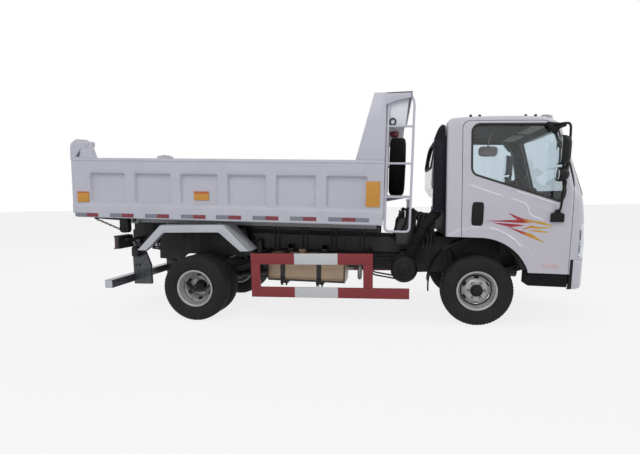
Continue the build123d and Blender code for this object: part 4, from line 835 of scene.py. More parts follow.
box_black = coated("black moulded battery box", "111215", 0.6, dust=0.15, grain=380.0, dent=0.08)
box = [plate(rounded((0.104, 0.556), (0.405, 0.816), 0.02), 0.404, 0.655, 0.006, "z"),
    plate(rounded((0.096, 0.564), (0.401, 0.824), 0.024), 0.64, 0.672, 0.008, "z"),
    brick((0.15, 0.5), (rail_face, 0.405), (0.6, 0.8))]
for x in np.linspace(0.15, 0.51, 8):
    box.append(brick(about(x, 0.008), (0.814, 0.8195), (0.425, 0.63), 0.003))
for x in (0.18, 0.48):
    box.append(brick(about(x, 0.018), (0.82, 0.826), (0.6, 0.668), 0.002))
piece("battery_box", box, "chassis", box_black, 35, True, ["battery_and_air_tank"])
reservoir_at = (-0.35, 0.6, 0.56)
reservoir = [turned(both_ends(((pole, -0.29), (0.05, -0.284), (0.095, -0.268), (0.118, -0.245), (0.125, -0.215))),
    reservoir_at, (1, 0, 0), 40)]
for x in (-0.52, -0.18):
    reservoir.append(band(0.124, 0.13, 0.018, 0.001, (x, *reservoir_at[1:]), (1, 0, 0), 40))
    reservoir.append(brick(about(x, 0.02), (rail_face, 0.52), (0.64, 0.78)))
reservoir.append(turned(((pole, 0.026), (0.009, 0.025), (0.01, 0.0), (0.016, -0.002), (0.016, -0.012)),
    (*reservoir_at[:2], 0.434), (0, 0, -1), 14))
piece("air_reservoir", reservoir, "chassis", chassis_black, 40)

# ---- Air cleaner, exhaust, hydraulic tank and valves --------------------------------
# A black canister with a clipped end cover, fed through a ribbed rubber hose; a gas-
# stained silencer; and behind the cab the oil tank with its valve block and hoses.
cleaner_black = coated("black cleaner canister", "08090D", 0.45, dust=0.04, shine=0.25, grain=300.0, dent=0.05)
hose_rubber = coated("black hose rubber", "0B0B0E", 0.7, dust=0.08, shine=0.25, grain=500.0, dent=0.1)
can = (1.004, -0.72, 0.6)
parts = [turned(((pole, -0.16), (0.06, -0.159), (0.066, -0.154), (0.068, -0.15), (0.11, -0.149), (0.124, -0.146),
    (0.138, -0.136), (0.146, -0.12), (0.15, -0.118), (0.15, -0.094), (0.145, -0.092), (0.145, 0.07), (0.15, 0.072),
    (0.15, 0.084), (0.145, 0.086), (0.143, 0.13), (0.13, 0.148), (0.1, 0.158), (pole, 0.16)), can, (0, 1, 0), 64)]
for k in range(6):
    a = 2 * pi * k / 6 + 0.3
    c, s = cos(a), sin(a)
    parts.append(tube([(can[0] + r * c, can[1] + y, can[2] + r * s) for r,
        y in ((0.147, -0.075), (0.154, -0.09), (0.155, -0.12), (0.15, -0.128))], 0.004, 8))
parts.append(turned(((pole, 0.01), (0.01, 0.009), (0.014, 0.0), (0.014, -0.004)), (can[0], can[1] - 0.159, can[2]),
    (0, -1, 0), 20))
parts.append(brick((0.964, 1.044), (-0.6, -rail_face), (0.69, 0.78), 0.003))
for y in (-0.83, -0.62):
    parts.append(band(0.149, 0.154, 0.012, 0.002, (can[0], y, can[2]), (0, 1, 0), 64))
piece("air_cleaner_can", parts, "chassis", cleaner_black, 40, True, ["air_cleaner"])


def ribbed(path, radius, pitch, depth):
    """Corrugated hose along a path: radius + depth * sin(2 pi s / pitch), s the run along the path."""
    path = lined(path, False, pitch / 8)
    run = np.arange(len(path)) * pitch / 8
    return tube(path, radius + depth * np.sin(2 * pi * run / pitch), 32)


def lined(outline, closed=True, spacing=0.02):
    """The outline, in two or three dimensions, with points no further apart than spacing."""
    outline = np.asarray(outline, float)
    ends = np.vstack((outline, outline[:1])) if closed else outline
    run = np.concatenate(([0], np.cumsum(np.linalg.norm(np.diff(ends, axis=0), axis=1))))
    at = np.linspace(0, run[-1], int(run[-1] / spacing) + 2)
    if closed:
        at = at[:-1]
    return np.stack([np.interp(at, run, ends[:, i]) for i in range(ends.shape[1])], -1)


hose = eased(((1.05, -0.722, 0.705), (1.128, -0.762, 0.895), (1.16, -0.78, 0.975)), 0.05, 10)
duct = [ribbed(hose, 0.052, 0.026, 0.0045), tube(((1.155, -0.777, 0.965), (1.2005, -0.8002, 1.0762)), 0.0545, 36)]
for at in ((1.062, -0.728, 0.735), (1.163, -0.781, 0.985)):
    duct.append(band(0.054, 0.0605, 0.008, 0.001, at, (0.367, -0.188, 0.911), 36))
piece("air_cleaner_duct", duct, "chassis", hose_rubber, 50)

exhaust_steel = coated("heat-stained aluminised steel", "6A625A", 0.42, dust=0.4, dust_colour="6E5B48", metal=0.6,
    grain=160.0, dent=0.08, mottle=0.14)
silencer = (0.75, 0.2, 0.62)
parts = [turned(both_ends(((0.034, -0.33), (0.036, -0.302), (0.06, -0.3), (0.088, -0.292), (0.095, -0.28),
    (0.098, -0.278), (0.098, -0.268), (0.095, -0.266))), silencer, (1, 0, 0), 48),
    tube(((1.05, *silencer[1:]), (1.149, *silencer[1:])), 0.0345, 24),
    tube(eased([(x, *silencer[1:]) for x in (-0.5, 0.3, 0.45)], 0.1), 0.0345, 24)]
for x in (0.47, 1.085, -0.4):
    parts.append(band(0.035, 0.042, 0.009, 0.001, (x, *silencer[1:]), (1, 0, 0), 24))
for x in (0.5, 1.0):
    parts.append(brick(about(x, 0.012), (0.185, 0.215), (0.7, 0.785)))
    parts.append(brick(about(x, 0.012), (0.185, 0.333), (0.728, 0.7397)))
    parts.append(band(0.095, 0.0985, 0.012, 0.001, (x, *silencer[1:]), (1, 0, 0), 48))
piece("silencer_and_pipes", parts, "chassis", exhaust_steel, 40, True, ["exhaust"])

hydraulic_black = coated("black hydraulic enamel", "101114", 0.42, dust=0.12, coat=0.15, grain=220.0, dent=0.06)
parts = [plate(rounded((0.906, 1.126), (0.866, 1.18), 0.035), -0.636, -0.382, 0.006)]
for y in (-0.628, -0.392):
    parts.append(plate(rounded((0.902, 1.13), (0.862, 1.184), 0.037), y - 0.005, y + 0.005, 0.002))
for x, z in ((0.925, 0.885), (1.105, 0.885), (0.925, 1.16), (1.105, 1.16)):
    parts.append(bolt((x, -0.638, z), (0, -1, 0), 0.018, 0.01))
parts.append(turned(((pole, 0.045), (0.03, 0.044), (0.036, 0.038), (0.036, 0.012), (0.028, 0.008), (0.028, -0.02)),
    (0.955, -0.44, 1.184), (0, 0, 1), 24))
# valve block: three spool sections between end plates, each with two ports and a cap
for k in range(3):
    x = 0.945 + k * 0.058
    parts.append(brick((x, x + 0.05), (-0.6, -0.5), (1.186, 1.262), 0.004))
    parts.append(turned(((pole, 0.036), (0.014, 0.034), (0.018, 0.028), (0.018, 0.0)), (x + 0.025, -0.6, 1.24),
        (0, -1, 0), 16))
    parts.append(turned(((pole, 0.03), (0.013, 0.029), (0.016, 0.022), (0.016, 0.0)), (x + 0.025, -0.53, 1.26),
        (0, 0, 1), 6))
for x in (0.934, 1.12):
    parts.append(brick(about(x, 0.01), (-0.606, -0.494), (1.182, 1.27), 0.003))
piece("hydraulic_tank_and_valves", parts, "chassis", hydraulic_black, 35, True,
    ["hydraulic_oil_tank"])
parts = []
for start, rise, turn_at, finish_at, r in (((0.97, -0.56, 1.27), 1.288, (1.08, -0.66, 1.265), (1.23, -0.56, 0.93),
        0.015), ((1.028, -0.56, 1.27), 1.29, (1.13, -0.7, 1.245), (1.25, -0.62, 0.9), 0.015),
        ((1.086, -0.56, 1.27), 1.286, (1.18, -0.62, 1.225), (1.27, -0.5, 0.92), 0.013),
        ((0.97, -0.636, 1.24), 1.25, (0.9, -0.72, 1.18), (0.86, -0.45, 0.93), 0.015),
        ((1.028, -0.636, 1.24), 1.215, (0.985, -0.74, 1.08), (0.89, -0.47, 0.9), 0.015),
        ((1.086, -0.636, 1.24), 1.205, (1.12, -0.73, 1.06), (1.15, -0.46, 0.86), 0.013)):
    start, turn_at, finish_at = np.array(start), np.array(turn_at), np.array(finish_at)
    above = start * (1, 1, 0) + (0, 0, rise) if abs(start[1] + 0.56) < 0.01 else start + (0, -0.05, -0.01)
    route = eased((start, above, turn_at, (turn_at + finish_at) / 2 + (0.02, 0.0, 0.03), finish_at), 0.09, 8)
    parts.append(tube(route, r, 14))
    parts.append(turned(((r * 1.15, -0.016), (r * 1.35, -0.014), (r * 1.35, 0.018), (r * 1.1, 0.02)), route[2],
        route[3] - route[1], 12))
piece("hydraulic_hoses", parts, "chassis", hose_rubber, 50)

# ---- Splash panels ------------------------------------------------------------------
# Thin black polypropylene sheets screwed inside the wheels and under the rails, which
# keep spray off the springs, wiring and gearbox; each is stiffened by pressed ribs.
splash_black = coated("black splash-guard sheet", "0B0C0F", 0.6, dust=0.14, dust_colour="4A4744", grain=400.0,
    dent=0.08)
splash = [plate(eased(((-2.18, 0.56), (-2.18, 0.94), (-2.08, 1.0), (-1.01, 1.0), (-0.88, 0.64), (-1.78, 0.64),
    (-1.86, 0.56)), 0.04, 5), -0.514, -0.509, 0.001), plate(eased(((-0.93, 0.585), (-0.93, 0.738), (1.22, 0.738),
    (1.22, 0.505), (0.6, 0.505)), 0.04, 5), -0.316, -0.312, 0.001),
    plate(eased(((1.14, 0.5), (1.14, 0.96), (2.12, 0.96), (2.18, 0.62), (1.9, 0.56)), 0.05, 5), -0.418, -0.414,
    0.001)]
for places, y, z in (((-1.85, -1.0, 0.12), -0.518, (0.68, 0.97)), ((-0.85, 0.8, 0.16), -0.32, (0.62, 0.72)),
        ((1.22, 2.08, 0.12), -0.422, (0.61, 0.93))):
    splash += [brick(about(x, 0.008), (y, y + 0.005), z, 0.002) for x in np.arange(*places)]
# A fuel filter hangs beside the tank, and two breather pipes run to the air cleaner.
filter_parts = [turned(((pole, 0.168), (0.016, 0.166), (0.018, 0.15), (0.027, 0.146), (0.028, 0.138), (0.0265, 0.02),
    (0.022, 0.004), (0.01, 0.0), (pole, -0.012)), (0.49, -0.75, 0.445), (0, 0, 1), 28)]
piece("fuel_filter", filter_parts, "chassis", stud_steel, 40)
pipes = [brick((0.47, 0.51), (-0.766, -rail_face), (0.69, 0.7), 0.001),
    brick((0.478, 0.502), (-0.762, -0.738), (0.6, 0.692), 0.001)]
pipes += [tube(eased(((0.53, -rail_face, z0), (0.56, -0.44, z0 - 0.05), (0.64, -0.455, z1),
    (0.985, -0.465, z1 - 0.045)), 0.03), 0.01, 10) for z0, z1 in ((0.665, 0.49), (0.64, 0.455))]
piece("filter_bracket_and_breathers", pipes, "chassis", chassis_black, 40)
piece("splash_panels", splash + mirrored(splash), "chassis", splash_black, 40)

# ---- Bed sides ----------------------------------------------------------------------
# Pressed steel side walls in white enamel, six recessed panels each, a folded top rail and
# a sill; at the rear an ear carries the tailgate's pin.  The pressing's depth is one field.
bed_white = coated("white bed enamel", "CAC9D1", 0.36, dust=0.1, dust_colour="B9B2A6", coat=0.35, grain=240.0,
    dent=0.03, mottle=0.04)
bed_rear, bed_front, bed_out, bed_in = -3.02, 0.745, 1.018, 0.948
sill, ledge, panel_top, side_top = 1.108, 1.285, 1.65, 1.822
pin_x, pin_z = -2.8, 1.985  # the tailgate's hinge pin
panels = [(-2.788 + 0.578 * i, -2.322 + 0.578 * i) for i in range(6)]


def soft_step(t):
    """0 below 0, 1 above 1, and t t (3 - 2 t) between."""
    t = np.clip(t, 0, 1)
    return t * t * (3 - 2 * t)


def pressed(u, v, spans, low, high, depth, slope):
    """Depth of recessed panels at (u, v): depth times a soft step over slope from each panel's edges."""
    across = np.zeros_like(u)
    for start, end in spans:
        across = np.maximum(across, soft_step((u - start) / slope) * soft_step((end - u) / slope))
    return depth * across * soft_step((v - low) / slope) * soft_step((high - v) / slope)


def stops(span, edges, coarse, fine=5):
    """Places along a span: every coarse step, and closely spaced across each pressed edge."""
    places = [np.arange(span[0], span[1], coarse), [span[1]]]
    places += [np.linspace(start, end, fine + 1) for start, end in edges]
    return np.unique(np.round(np.concatenate(places), 5))


slope = 0.024
us = stops((bed_rear, bed_front), [(a, a + slope) for a, b in panels] + [(b - slope, b) for a, b in panels], 0.11)
vs = stops((sill, side_top), [(ledge, ledge + slope), (panel_top - slope, panel_top), (1.111, 1.117), (1.154, 1.158),
    (1.262, 1.27), (1.786, 1.792)], 0.06)
u, v = np.meshgrid(us, vs)
u[:, 0] += 0.045 * soft_step((1.158 - v[:, 0]) / 0.004)
skin_y = (bed_out - 0.0015 - pressed(u, v, panels, ledge, panel_top, 0.046, slope) - 0.008
    * soft_step((1.117 - v) / 0.006) + 0.0015 * soft_step((v - 1.786) / 0.006) - 0.006
    * soft_step((v - 1.262) / 0.008) * soft_step((1.792 - v) / 0.006) - 0.0008 * np.sin(u * 2.3 + v * 3.1)
    * soft_step((u - bed_rear) / 0.1) * soft_step((bed_front - u) / 0.1) * 0.5 - 0.0004)
skin_y -= 0.004 * soft_step((v - side_top + 0.005) / 0.005)
rows = [spots(u[0], bed_in, sill)]
rows += [spots(u[k], skin_y[k], v[k]) for k in range(len(vs))]
rows += [spots(us, bed_in, side_top)]
wall = lattice(np.array(rows), wrap_rows=True, capped=True)
ear = eased(((bed_rear, side_top - 0.01), (bed_rear + 0.003, side_top + 0.158), (bed_rear + 0.08, side_top + 0.22),
    (bed_rear + 0.248, side_top + 0.208), (bed_rear + 0.323, side_top - 0.01)), 0.03, 5)
hole = ((bed_rear + 0.06, side_top + 0.01), (bed_rear + 0.154, side_top + 0.122), (bed_rear + 0.122, side_top + 0.01))
hollow = [carved("ear", plate(ear, bed_out - 0.018, bed_out, 0.002), [("DIFFERENCE", prism(hole, 0.9, 1.1))])]
rib_path = eased(((bed_rear + 0.006, side_top), (bed_rear + 0.009, side_top + 0.155),
    (bed_rear + 0.084, side_top + 0.214), (bed_rear + 0.244, side_top + 0.202), (bed_rear + 0.314, side_top)), 0.03,
    5)
rim_grid = np.array([[(x, y, z) for x, z in rib_path] for y in (bed_in + 0.006, bed_out - 0.006)])
offset_in = rib_path + (np.array((bed_rear + 0.16, side_top)) - rib_path) * 0.035
inner_grid = np.array([[(x, y, z) for x, z in offset_in] for y in (bed_in + 0.006, bed_out - 0.006)])
rim, rim_quads = lattice(np.concatenate((rim_grid, inner_grid[::-1])), wrap_rows=True)
n = len(rib_path)
rim_quads += [[0, n, 2 * n, 3 * n], [n - 1, 2 * n - 1, 3 * n - 1, 4 * n - 1]]
side_parts = [wall, (rim, rim_quads)] + hollow
side_parts += [tube(((pin_x, bed_in - 0.055, pin_z), (pin_x, bed_out + 0.008, pin_z)), 0.018, 24),
    turned(((pole, 0.01), (0.03, 0.009), (0.034, 0.005), (0.034, 0.0)), (pin_x, bed_out - 0.001, pin_z), (0, 1, 0),
    32)]
piece("bed_side_left_panel", side_parts, "bed", bed_white, 28, True, ["bed_side_left"])
piece("bed_side_right_panel", mirrored(side_parts), "bed", bed_white, 28, True, ["bed_side_right"])

# ---- Reflective tape, blank labels --------------------------------------------------
# Prismatic tape in lengths of grey and red along both sills; on the right-hand side three
# blank yellow stickers, two of them with an orange-red head.
def prismatic(name, colour, tip):
    """Micro-prism sheeting: small diamond cells, each a little lighter or darker, under a gloss film."""
    material, tree, where = fresh(name)
    cells = add(tree, "ShaderNodeTexVoronoi", {"Vector": where, "Scale": 210.0})
    tint = blend(tree, cells.outputs["Distance"], linear(colour), linear(tip))
    surfaced(tree, {"Base Color": tint, "Roughness": 0.22, "Coat Weight": 0.5})
    return material


tape_red = prismatic("red prismatic tape", "721026", "8E1C34")
tape_grey = prismatic("silver prismatic tape", "6E6F7A", "8A8C97")
label_yellow = prismatic("yellow label film", "CC8610", "DB9A1E")
label_red = prismatic("orange-red label film", "B9501F", "C86A2C")
greys, reds, strip_long, strip_high = [], [], 0.153, 0.046
for x in (-2.992, -2.53, -2.076, -1.621, -1.188, -0.746, -0.305, 0.137):
    low = 1.116 + 0.0079 * (x + 2.992)
    for k in range(3 if x > 0 else 2):
        start, end, high = x + strip_long * k, x + strip_long * (k + 1), low + strip_high
        strip = plate(corners((start, end), (low, high)), -bed_out - 0.0004, -bed_out + 0.003, 0.0003)
        (reds if k == 1 else greys).append(strip)
yellows, oranges = [], []
for (x0, x1), (z0, z1), head in (((-2.95, -2.796), (1.292, 1.418), 0.018), ((-1.475, -1.292), (1.343, 1.446), 0.028),
        ((0.552, 0.706), (1.31, 1.59), 0.0)):
    depth = 0.0465 * (x0 > -2.5) * (x1 < 0.5)
    near = sorted((-bed_out + depth - 0.0006, -bed_out + depth + 0.004))
    yellows.append(plate(corners((x0, x1), (z0, z1 - head)), *near, 0.0003))
    if head:
        oranges.append(plate(corners((x0, x1), (z1 - head, z1)), *near, 0.0003))
for name, parts, look in (("tape_grey", greys, tape_grey), ("tape_red", reds, tape_red),
        ("labels_yellow", yellows, label_yellow), ("labels_orange", oranges, label_red)):
    both = parts + (mirrored(parts) if name.startswith("tape") else [])
    piece(name, both, "bed", look, 30)

# ---- Floor, cross-beams, tailgate ---------------------------------------------------
# The floor plate is scuffed and dusty; channels and long members carry it.
# The tailgate is one pressed leaf with three recesses, hung from arms above the sides.
# The tailgate is one pressed leaf with three recesses, hung from arms above the sides.
floor_steel = coated("scuffed white floor plate", "C9C8C6", 0.5, dust=0.55, dust_colour="8B8074", metal=0.15,
    grain=60.0, dent=0.16, mottle=0.12)
finish("bed_floor", floor_steel)
under_white = coated("white underframe enamel", "C7C7C9", 0.55, dust=0.5, dust_colour="7C7268", grain=200.0,
    dent=0.08)
finish("bed_underframe", under_white)
seams = []
for x in np.arange(-2.62, 0.6, 0.425):
    for side in (-1, 1):
        seams.append(brick(about(x, 0.025), flank(side, 0.944, 0.947), (1.18, 1.262), 0.001))
seams += [tube(((-2.9, y, 1.278), (0.68, y, 1.278)), 0.005, 8) for y in (-0.945, 0.945)]
piece("floor_weld_seams", seams, "bed", under_white, 40)

gate_x, gate_t = bed_rear + 0.006, 0.06
gate_spans = [(-0.86, -0.36), (-0.25, 0.25), (0.36, 0.86)]
us = stops((-0.94, 0.94), [(a, a + slope) for a, b in gate_spans] + [(b - slope, b) for a, b in gate_spans], 0.11)
vs = stops((1.178, 1.817), [(ledge, ledge + slope), (panel_top - slope, panel_top)], 0.07)
u, v = np.meshgrid(us, vs)
depth = pressed(u, v, gate_spans, ledge, panel_top, 0.038, slope)
rows = [spots(gate_x + gate_t, us, vs[0])]
rows += [spots(gate_x + 0.001 + depth[k], u[k], v[k]) for k in range(len(vs))]
rows += [spots(gate_x + gate_t, us, vs[-1])]
gate_parts = [lattice(np.array(rows), wrap_rows=True, capped=True)]
for side in (-1, 1):
    span = flank(side, 0.914, 0.94)
    arm = eased(((gate_x + 0.002, 1.762), (gate_x + 0.002, 1.96), (gate_x + 0.034, 2.02), (-2.764, 2.02),
        (-2.764, 1.952), (gate_x + gate_t - 0.004, 1.952), (gate_x + gate_t - 0.004, 1.762)), 0.02, 4)
    gate_parts.append(carved("arm", plate(arm, *span, 0.002),
        [("DIFFERENCE", turned(((pole, -0.1), (0.0185, -0.1), (0.0185, 0.1), (pole, 0.1)),
        (pin_x, side * 0.927, pin_z), (0, 1, 0), 32))]))
    gate_parts.append(turned(((pole, 0.012), (0.026, 0.01), (0.026, 0.0), (pole, 0.0)),
        (gate_x + 0.03, side * 0.934, 1.215), (0, side, 0), 24))
for z in (1.2, 1.795):
    gate_parts.append(brick((gate_x - 0.003, gate_x + 0.004), (-0.93, 0.93), about(z, 0.016), 0.003))
piece("tailgate_leaf", gate_parts, "tailgate", bed_white, 28, True, ["tailgate"])

# ---- Headboard, canopy, spare-wheel carrier, ladder ---------------------------------
# The tall front wall has folded stiffeners and runs into a canopy over the cab's back; its
# gussets, the hanger plate and the shelf are plain plates, the ladder is bent tube.
panel_white = coated("white plate enamel", "CDCCD5", 0.38, dust=0.1, dust_colour="B9B2A6", coat=0.3, grain=220.0,
    dent=0.03, mottle=0.03)
head, tip, head_in = 2.534, 1.016, 0.685
board = [brick((head_in, bed_front), (-0.947, 0.947), (1.148, head - 0.002), 0.004)]
for side in (-1, 1):
    ends = flank(side, bed_out - 0.07, bed_out)
    board.append(plate(((0.427, side_top + 0.001), (0.612, head), (bed_front, head), (bed_front, side_top + 0.001)),
        *ends, 0.003))
    wing = np.concatenate((((bed_front, head), (tip, head + 0.01), (tip, head - 0.05)),
        arc((tip - 0.02, head - 0.052), (0.88, head - 0.07), (bed_front, head - 0.12), 12)))
    board.append(plate(wing, *flank(side, bed_out - 0.012, bed_out), 0.002))
    board.append(tube(spots(wing[3:, 0], side * (bed_out - 0.006), wing[3:, 1]), 0.007, 8))
board.append(plate(((bed_front, head - 0.0005), (tip, head + 0.0095), (tip, head - 0.05), (tip - 0.012, head - 0.05),
    (tip - 0.012, head - 0.004), (bed_front, head - 0.012)), -bed_out, bed_out, 0.0015))
for y in (-0.8, -0.4, 0.0, 0.62, 0.85):
    board.append(plate(((y - 0.03, 1.5), (y + 0.03, 1.5), (y + 0.018, 2.4), (y - 0.018, 2.4)), bed_front - 0.001,
        bed_front + 0.018, 0.006, "x"))
    board.append(plate(((bed_front, head - 0.013), (tip - 0.014, head - 0.005), (tip - 0.014, head - 0.035),
        (bed_front, head - 0.075)), y - 0.004, y + 0.004, 0.001))
piece("headboard_and_canopy", board, "bed", panel_white, 28, True, ["headboard"])
hanger = plate(eased(((bed_front, head - 0.014), (tip - 0.04, head - 0.014), (tip - 0.085, 2.31), (bed_front, 2.31)),
    0.015, 4), 0.33, 0.342, 0.002)
# The gussets and hanger plate get a whiter enamel than the other plates: painted light, lifting them out of the
# canopy's shade.
shade_lifted_white = coated("clean white plate enamel", "F4F3F6", 0.5, grain=220.0, dent=0.02, mottle=0.04)
gussets = [plate(eased(((bed_front, head - 0.012), (tip - 0.03, head - 0.006), (0.958, 2.186), (bed_front, 2.18)),
    0.012, 4), *flank(side, 0.956, 0.966), 0.002) for side in (-1, 1)]
piece("canopy_gussets", gussets + [hanger], "bed", shade_lifted_white, 30)

shelf_back = bed_front + 0.0005
ledge_parts = [plate(corners((shelf_back, 1.074), (0.09, 0.75)), 1.436, 1.4468, 0.001, "z"),
    *(brick(x, y, (1.4155, 1.44)) for x, y in (((1.062, 1.0745), (0.09, 0.75)), ((shelf_back, 1.0745), (0.09, 0.1)),
    ((shelf_back, 1.0745), (0.74, 0.75))))]
for y in (0.11, 0.69):
    ledge_parts.append(plate(((shelf_back, 1.415), (1.02, 1.415), (shelf_back, 1.36)), y, y + 0.006, 0.001))
piece("spare_wheel_shelf", ledge_parts, "bed", panel_white, 30, True, ["spare_carrier"])

rungs, rail_x, rail_y, rail_r = (1.425, 1.79, 2.185), (0.768, 1.042), -0.985, 0.013
loop = eased(((rail_x[0], rail_y, 2.47), (rail_x[0], rail_y, 1.045), (rail_x[1], rail_y, 1.045),
    (rail_x[1], rail_y, 2.44), (tip - 0.006, rail_y, 2.5)), 0.055, 8)
ladder_parts = [tube(loop, rail_r, 16)]
for z in rungs:
    ladder_parts.append(tube(((rail_x[0], rail_y, z), (rail_x[1], rail_y, z)), 0.0115, 14))
    ladder_parts += [band(0.0118, 0.015, 0.007, 0.003, (x, rail_y, z), (1, 0, 0), 14)
        for x in (rail_x[0] + 0.012, rail_x[1] - 0.012)]
for z in (rungs[0], rungs[2]):
    ladder_parts.append(tube(((bed_front + 0.001, rail_y, z), (rail_x[0], rail_y, z)), 0.012, 14))
    ladder_parts.append(brick((bed_front - 0.001, bed_front + 0.006), (-1.012, -0.955), about(z, 0.035), 0.002))
piece("ladder_tubes", ladder_parts, "bed", panel_white, 45, True, ["ladder"])

# ---- Spare wheel, chain hoist, rear latches -----------------------------------------
# The spare stands on its shelf, clamped by a threaded bar; over it hangs a small hand
# hoist in red enamel with its hook and welded-link chain; latches close the tailgate.
spare = np.array((0.8895, 0.42, 1.8453))


def on_spare(part):
    """A wheel part made about the y axis, turned to the x axis and carried to the spare's place."""
    points, faces = part
    return np.asarray(points)[:, (1, 0, 2)] + spare, faces


piece("spare_tyre", [on_spare(tyre_shape((0, 0, 0), 1))], "bed", tyre_rubber, 28, True, ["spare_wheel"])
piece("spare_wheel_steel", [on_spare(part) for part in [rim_shape((0, 0, 0), 1)]
    + wheel_face((0, 0, 0), 1, front_dish)], "bed", wheel_grey, 40)
clamp = [tube(((shelf_back, *spare[1:]), (0.985, *spare[1:])), 0.01, 14),
    turned(((pole, 0.012), (0.08, 0.01), (0.084, 0.006), (0.084, 0.0), (pole, 0.0)), (0.951, *spare[1:]), (1, 0, 0),
    32), bolt((0.963, *spare[1:]), (1, 0, 0), 0.032, 0.018)]
piece("spare_clamp", clamp, "bed", stud_steel, 35)

hoist_red = coated("red hoist enamel", "7E1424", 0.3, dust=0.12, coat=0.5, grain=260.0, dent=0.05)
chain_x, hoist_y = 0.7635, 0.336
lift = (0.8375, hoist_y, 2.279)
hoist_parts = [plate(rounded((0.775, 0.9), (2.24, 2.318), 0.034), 0.294, 0.378, 0.008),
    turned(both_ends(((pole, 0.058), (0.022, 0.057), (0.034, 0.05), (0.037, 0.04))), lift, (0, 1, 0), 32)]
piece("hoist_body", hoist_parts, "bed", hoist_red, 40, True, ["chain_hoist"])
ring = full_turn(24)
piece("lifting_ring", [tube(spots(0.818 + 0.03 * np.cos(ring), -0.974, 2.235 + 0.034 * np.sin(ring)), 0.0085, 10,
    True), tube(((0.818, -0.976, 2.268), (0.818, -0.96, 2.268)), 0.01, 10)], "bed", cast_black, 45)
links = [tube(eased(((0.812, hoist_y, 2.398), (0.812, hoist_y, 2.36), (0.8375, hoist_y, 2.34),
    (0.8375, hoist_y, 2.31)), 0.012, 4), 0.008, 10)]


def chain(start, end, pitch, width, wire):
    """Straight chain: links of half width along the pull, each turned a quarter from the one before."""
    start, end = np.array(start, float), np.array(end, float)
    pull = (end - start) / np.linalg.norm(end - start)
    side = np.cross(pull, (0.0, 1.0, 0.0))
    side /= np.linalg.norm(side)
    count = int(np.linalg.norm(end - start) / pitch)
    parts, t = [], full_turn(12)
    for k in range(count):
        across = side if k % 2 else np.cross(pull, side)
        middle = start + pull * (k + 0.5) * pitch
        long = np.sign(np.sin(t)) * np.abs(np.sin(t)) ** 0.7 * pitch * 0.72
        parts.append(tube(middle + pull * long[:, None] + across * (np.cos(t) * width)[:, None], wire, 6, True))
    return parts


links += chain((chain_x, hoist_y, 2.3), (chain_x, hoist_y, 1.455), 0.02, 0.0068, 0.0024)
links += [turned(((0.006, -0.01), (0.012, -0.008), (0.012, 0.0), (0.006, 0.002)), (chain_x, hoist_y, 1.452),
    (0, 0, 1), 12), tube(((chain_x, hoist_y, 2.3), (0.79, hoist_y, 2.3)), 0.006, 8)]
piece("hoist_hook_and_chain", links, "bed", stud_steel, 45)

# Tailgate latches under the sill: a pivoting claw, its link chain and its black cover.
latch = []
for side in (-1, 1):
    span = flank(side, 0.655, 0.735)
    latch.append(plate(eased(((-2.6, 1.107), (-2.602, 0.925), (-2.58, 0.905), (-2.5, 0.905), (-2.482, 0.93),
        (-2.486, 1.107)), 0.02, 4), *span, 0.006))
    latch.append(tube(((-2.541, span[0] - 0.012, 0.955), (-2.541, span[1] + 0.012, 0.955)), 0.016, 14))
    latch.append(plate(((-2.96, 1.107), (-2.94, 1.075), (-2.6, 1.06), (-2.6, 1.107)), *flank(side, 0.69, 0.7), 0.002))
    latch += chain((-2.93, side * 0.745, 1.08), (-2.56, side * 0.745, 0.94), 0.03, 0.011, 0.0042)
    latch += [tube(((x, side * y, z), (x, side * 0.752, z)), 0.006, 8) for x, y,
        z in ((-2.93, 0.69, 1.085), (-2.56, 0.73, 0.942))]
piece("tailgate_latches", latch, "bed", cast_black, 40)
junction = []
for side in (-1, 1):
    junction.append(plate(rounded((-2.56, -2.47), (0.575, 0.7), 0.014), *flank(side, 0.43, 0.56), 0.005))
    junction.append(tube(eased(((-2.515, side * 0.5, 0.7), (-2.51, side * 0.505, 0.76), (-2.505, side * 0.6, 0.79)),
        0.04), 0.011, 10))
    junction.append(tube(eased(((-2.475, side * 0.5, 0.64), (-2.4, side * 0.5, 0.64), (-2.36, side * 0.42, 0.7),
        (-2.3, side * 0.385, 0.7)), 0.05), 0.012, 10))
    junction.append(brick((-2.54, -2.49), flank(side, 0.3785, 0.44), (0.61, 0.66), 0.003))
piece("rear_junction_boxes", junction, "chassis", box_black, 40)

# ---- Tipping ram --------------------------------------------------------------------
# A double-acting ram lies between the rails: a black barrel with welded collars and a
# hard-chromed rod, which runs out of it as the bed tips.
finish("hoist_barrel", hydraulic_black)
finish("hoist_rod", coated("hard chrome", "C8CACD", 0.08, metal=1.0, grain=60.0, dent=0.01, mottle=0.02))
ram_low, ram_high = np.array((-0.9, 0.0, 0.82)), np.array((0.55, 0.0, 1.05))
along = (ram_high - ram_low) / np.linalg.norm(ram_high - ram_low)
collar = [turned(((0.0682, -0.012), (0.076, -0.01), (0.076, 0.014), (0.0682, 0.016)), ram_low + along * d, along, 40)
    for d in (0.12, 0.7, 1.27)]
piece("ram_collars", collar, "hoist_barrel", hydraulic_black, 40)

# ---- Cab shell ----------------------------------------------------------------------
# Deep-drawn steel panels spot-welded into one shell and sprayed white: upright below the
# belt, leaning in above it, with a rounded cant rail, a raised pressing round the wheel
# arch, a crease under the windows and a bulged back.  Doorways and windows are cut through.
belt, cant, cant_r, roof, crown_x = 1.43, 2.225, 0.105, 2.33, 2.05
cab_half, cab_back, cab_nose = 0.966, 1.44, 2.972
arch_at = (1.812, 0.46)
bow, bow_in, bend_x = 0.05, 0.145, 0.265  # the front's bow, and how far its corners reach in y and in x


def ramp(h, soft=0.05):
    """0 below zero and h above it, joined by a curve: (h + sqrt(h^2 + soft^2)) / 2."""
    return (h + np.sqrt(h * h + soft * soft)) / 2


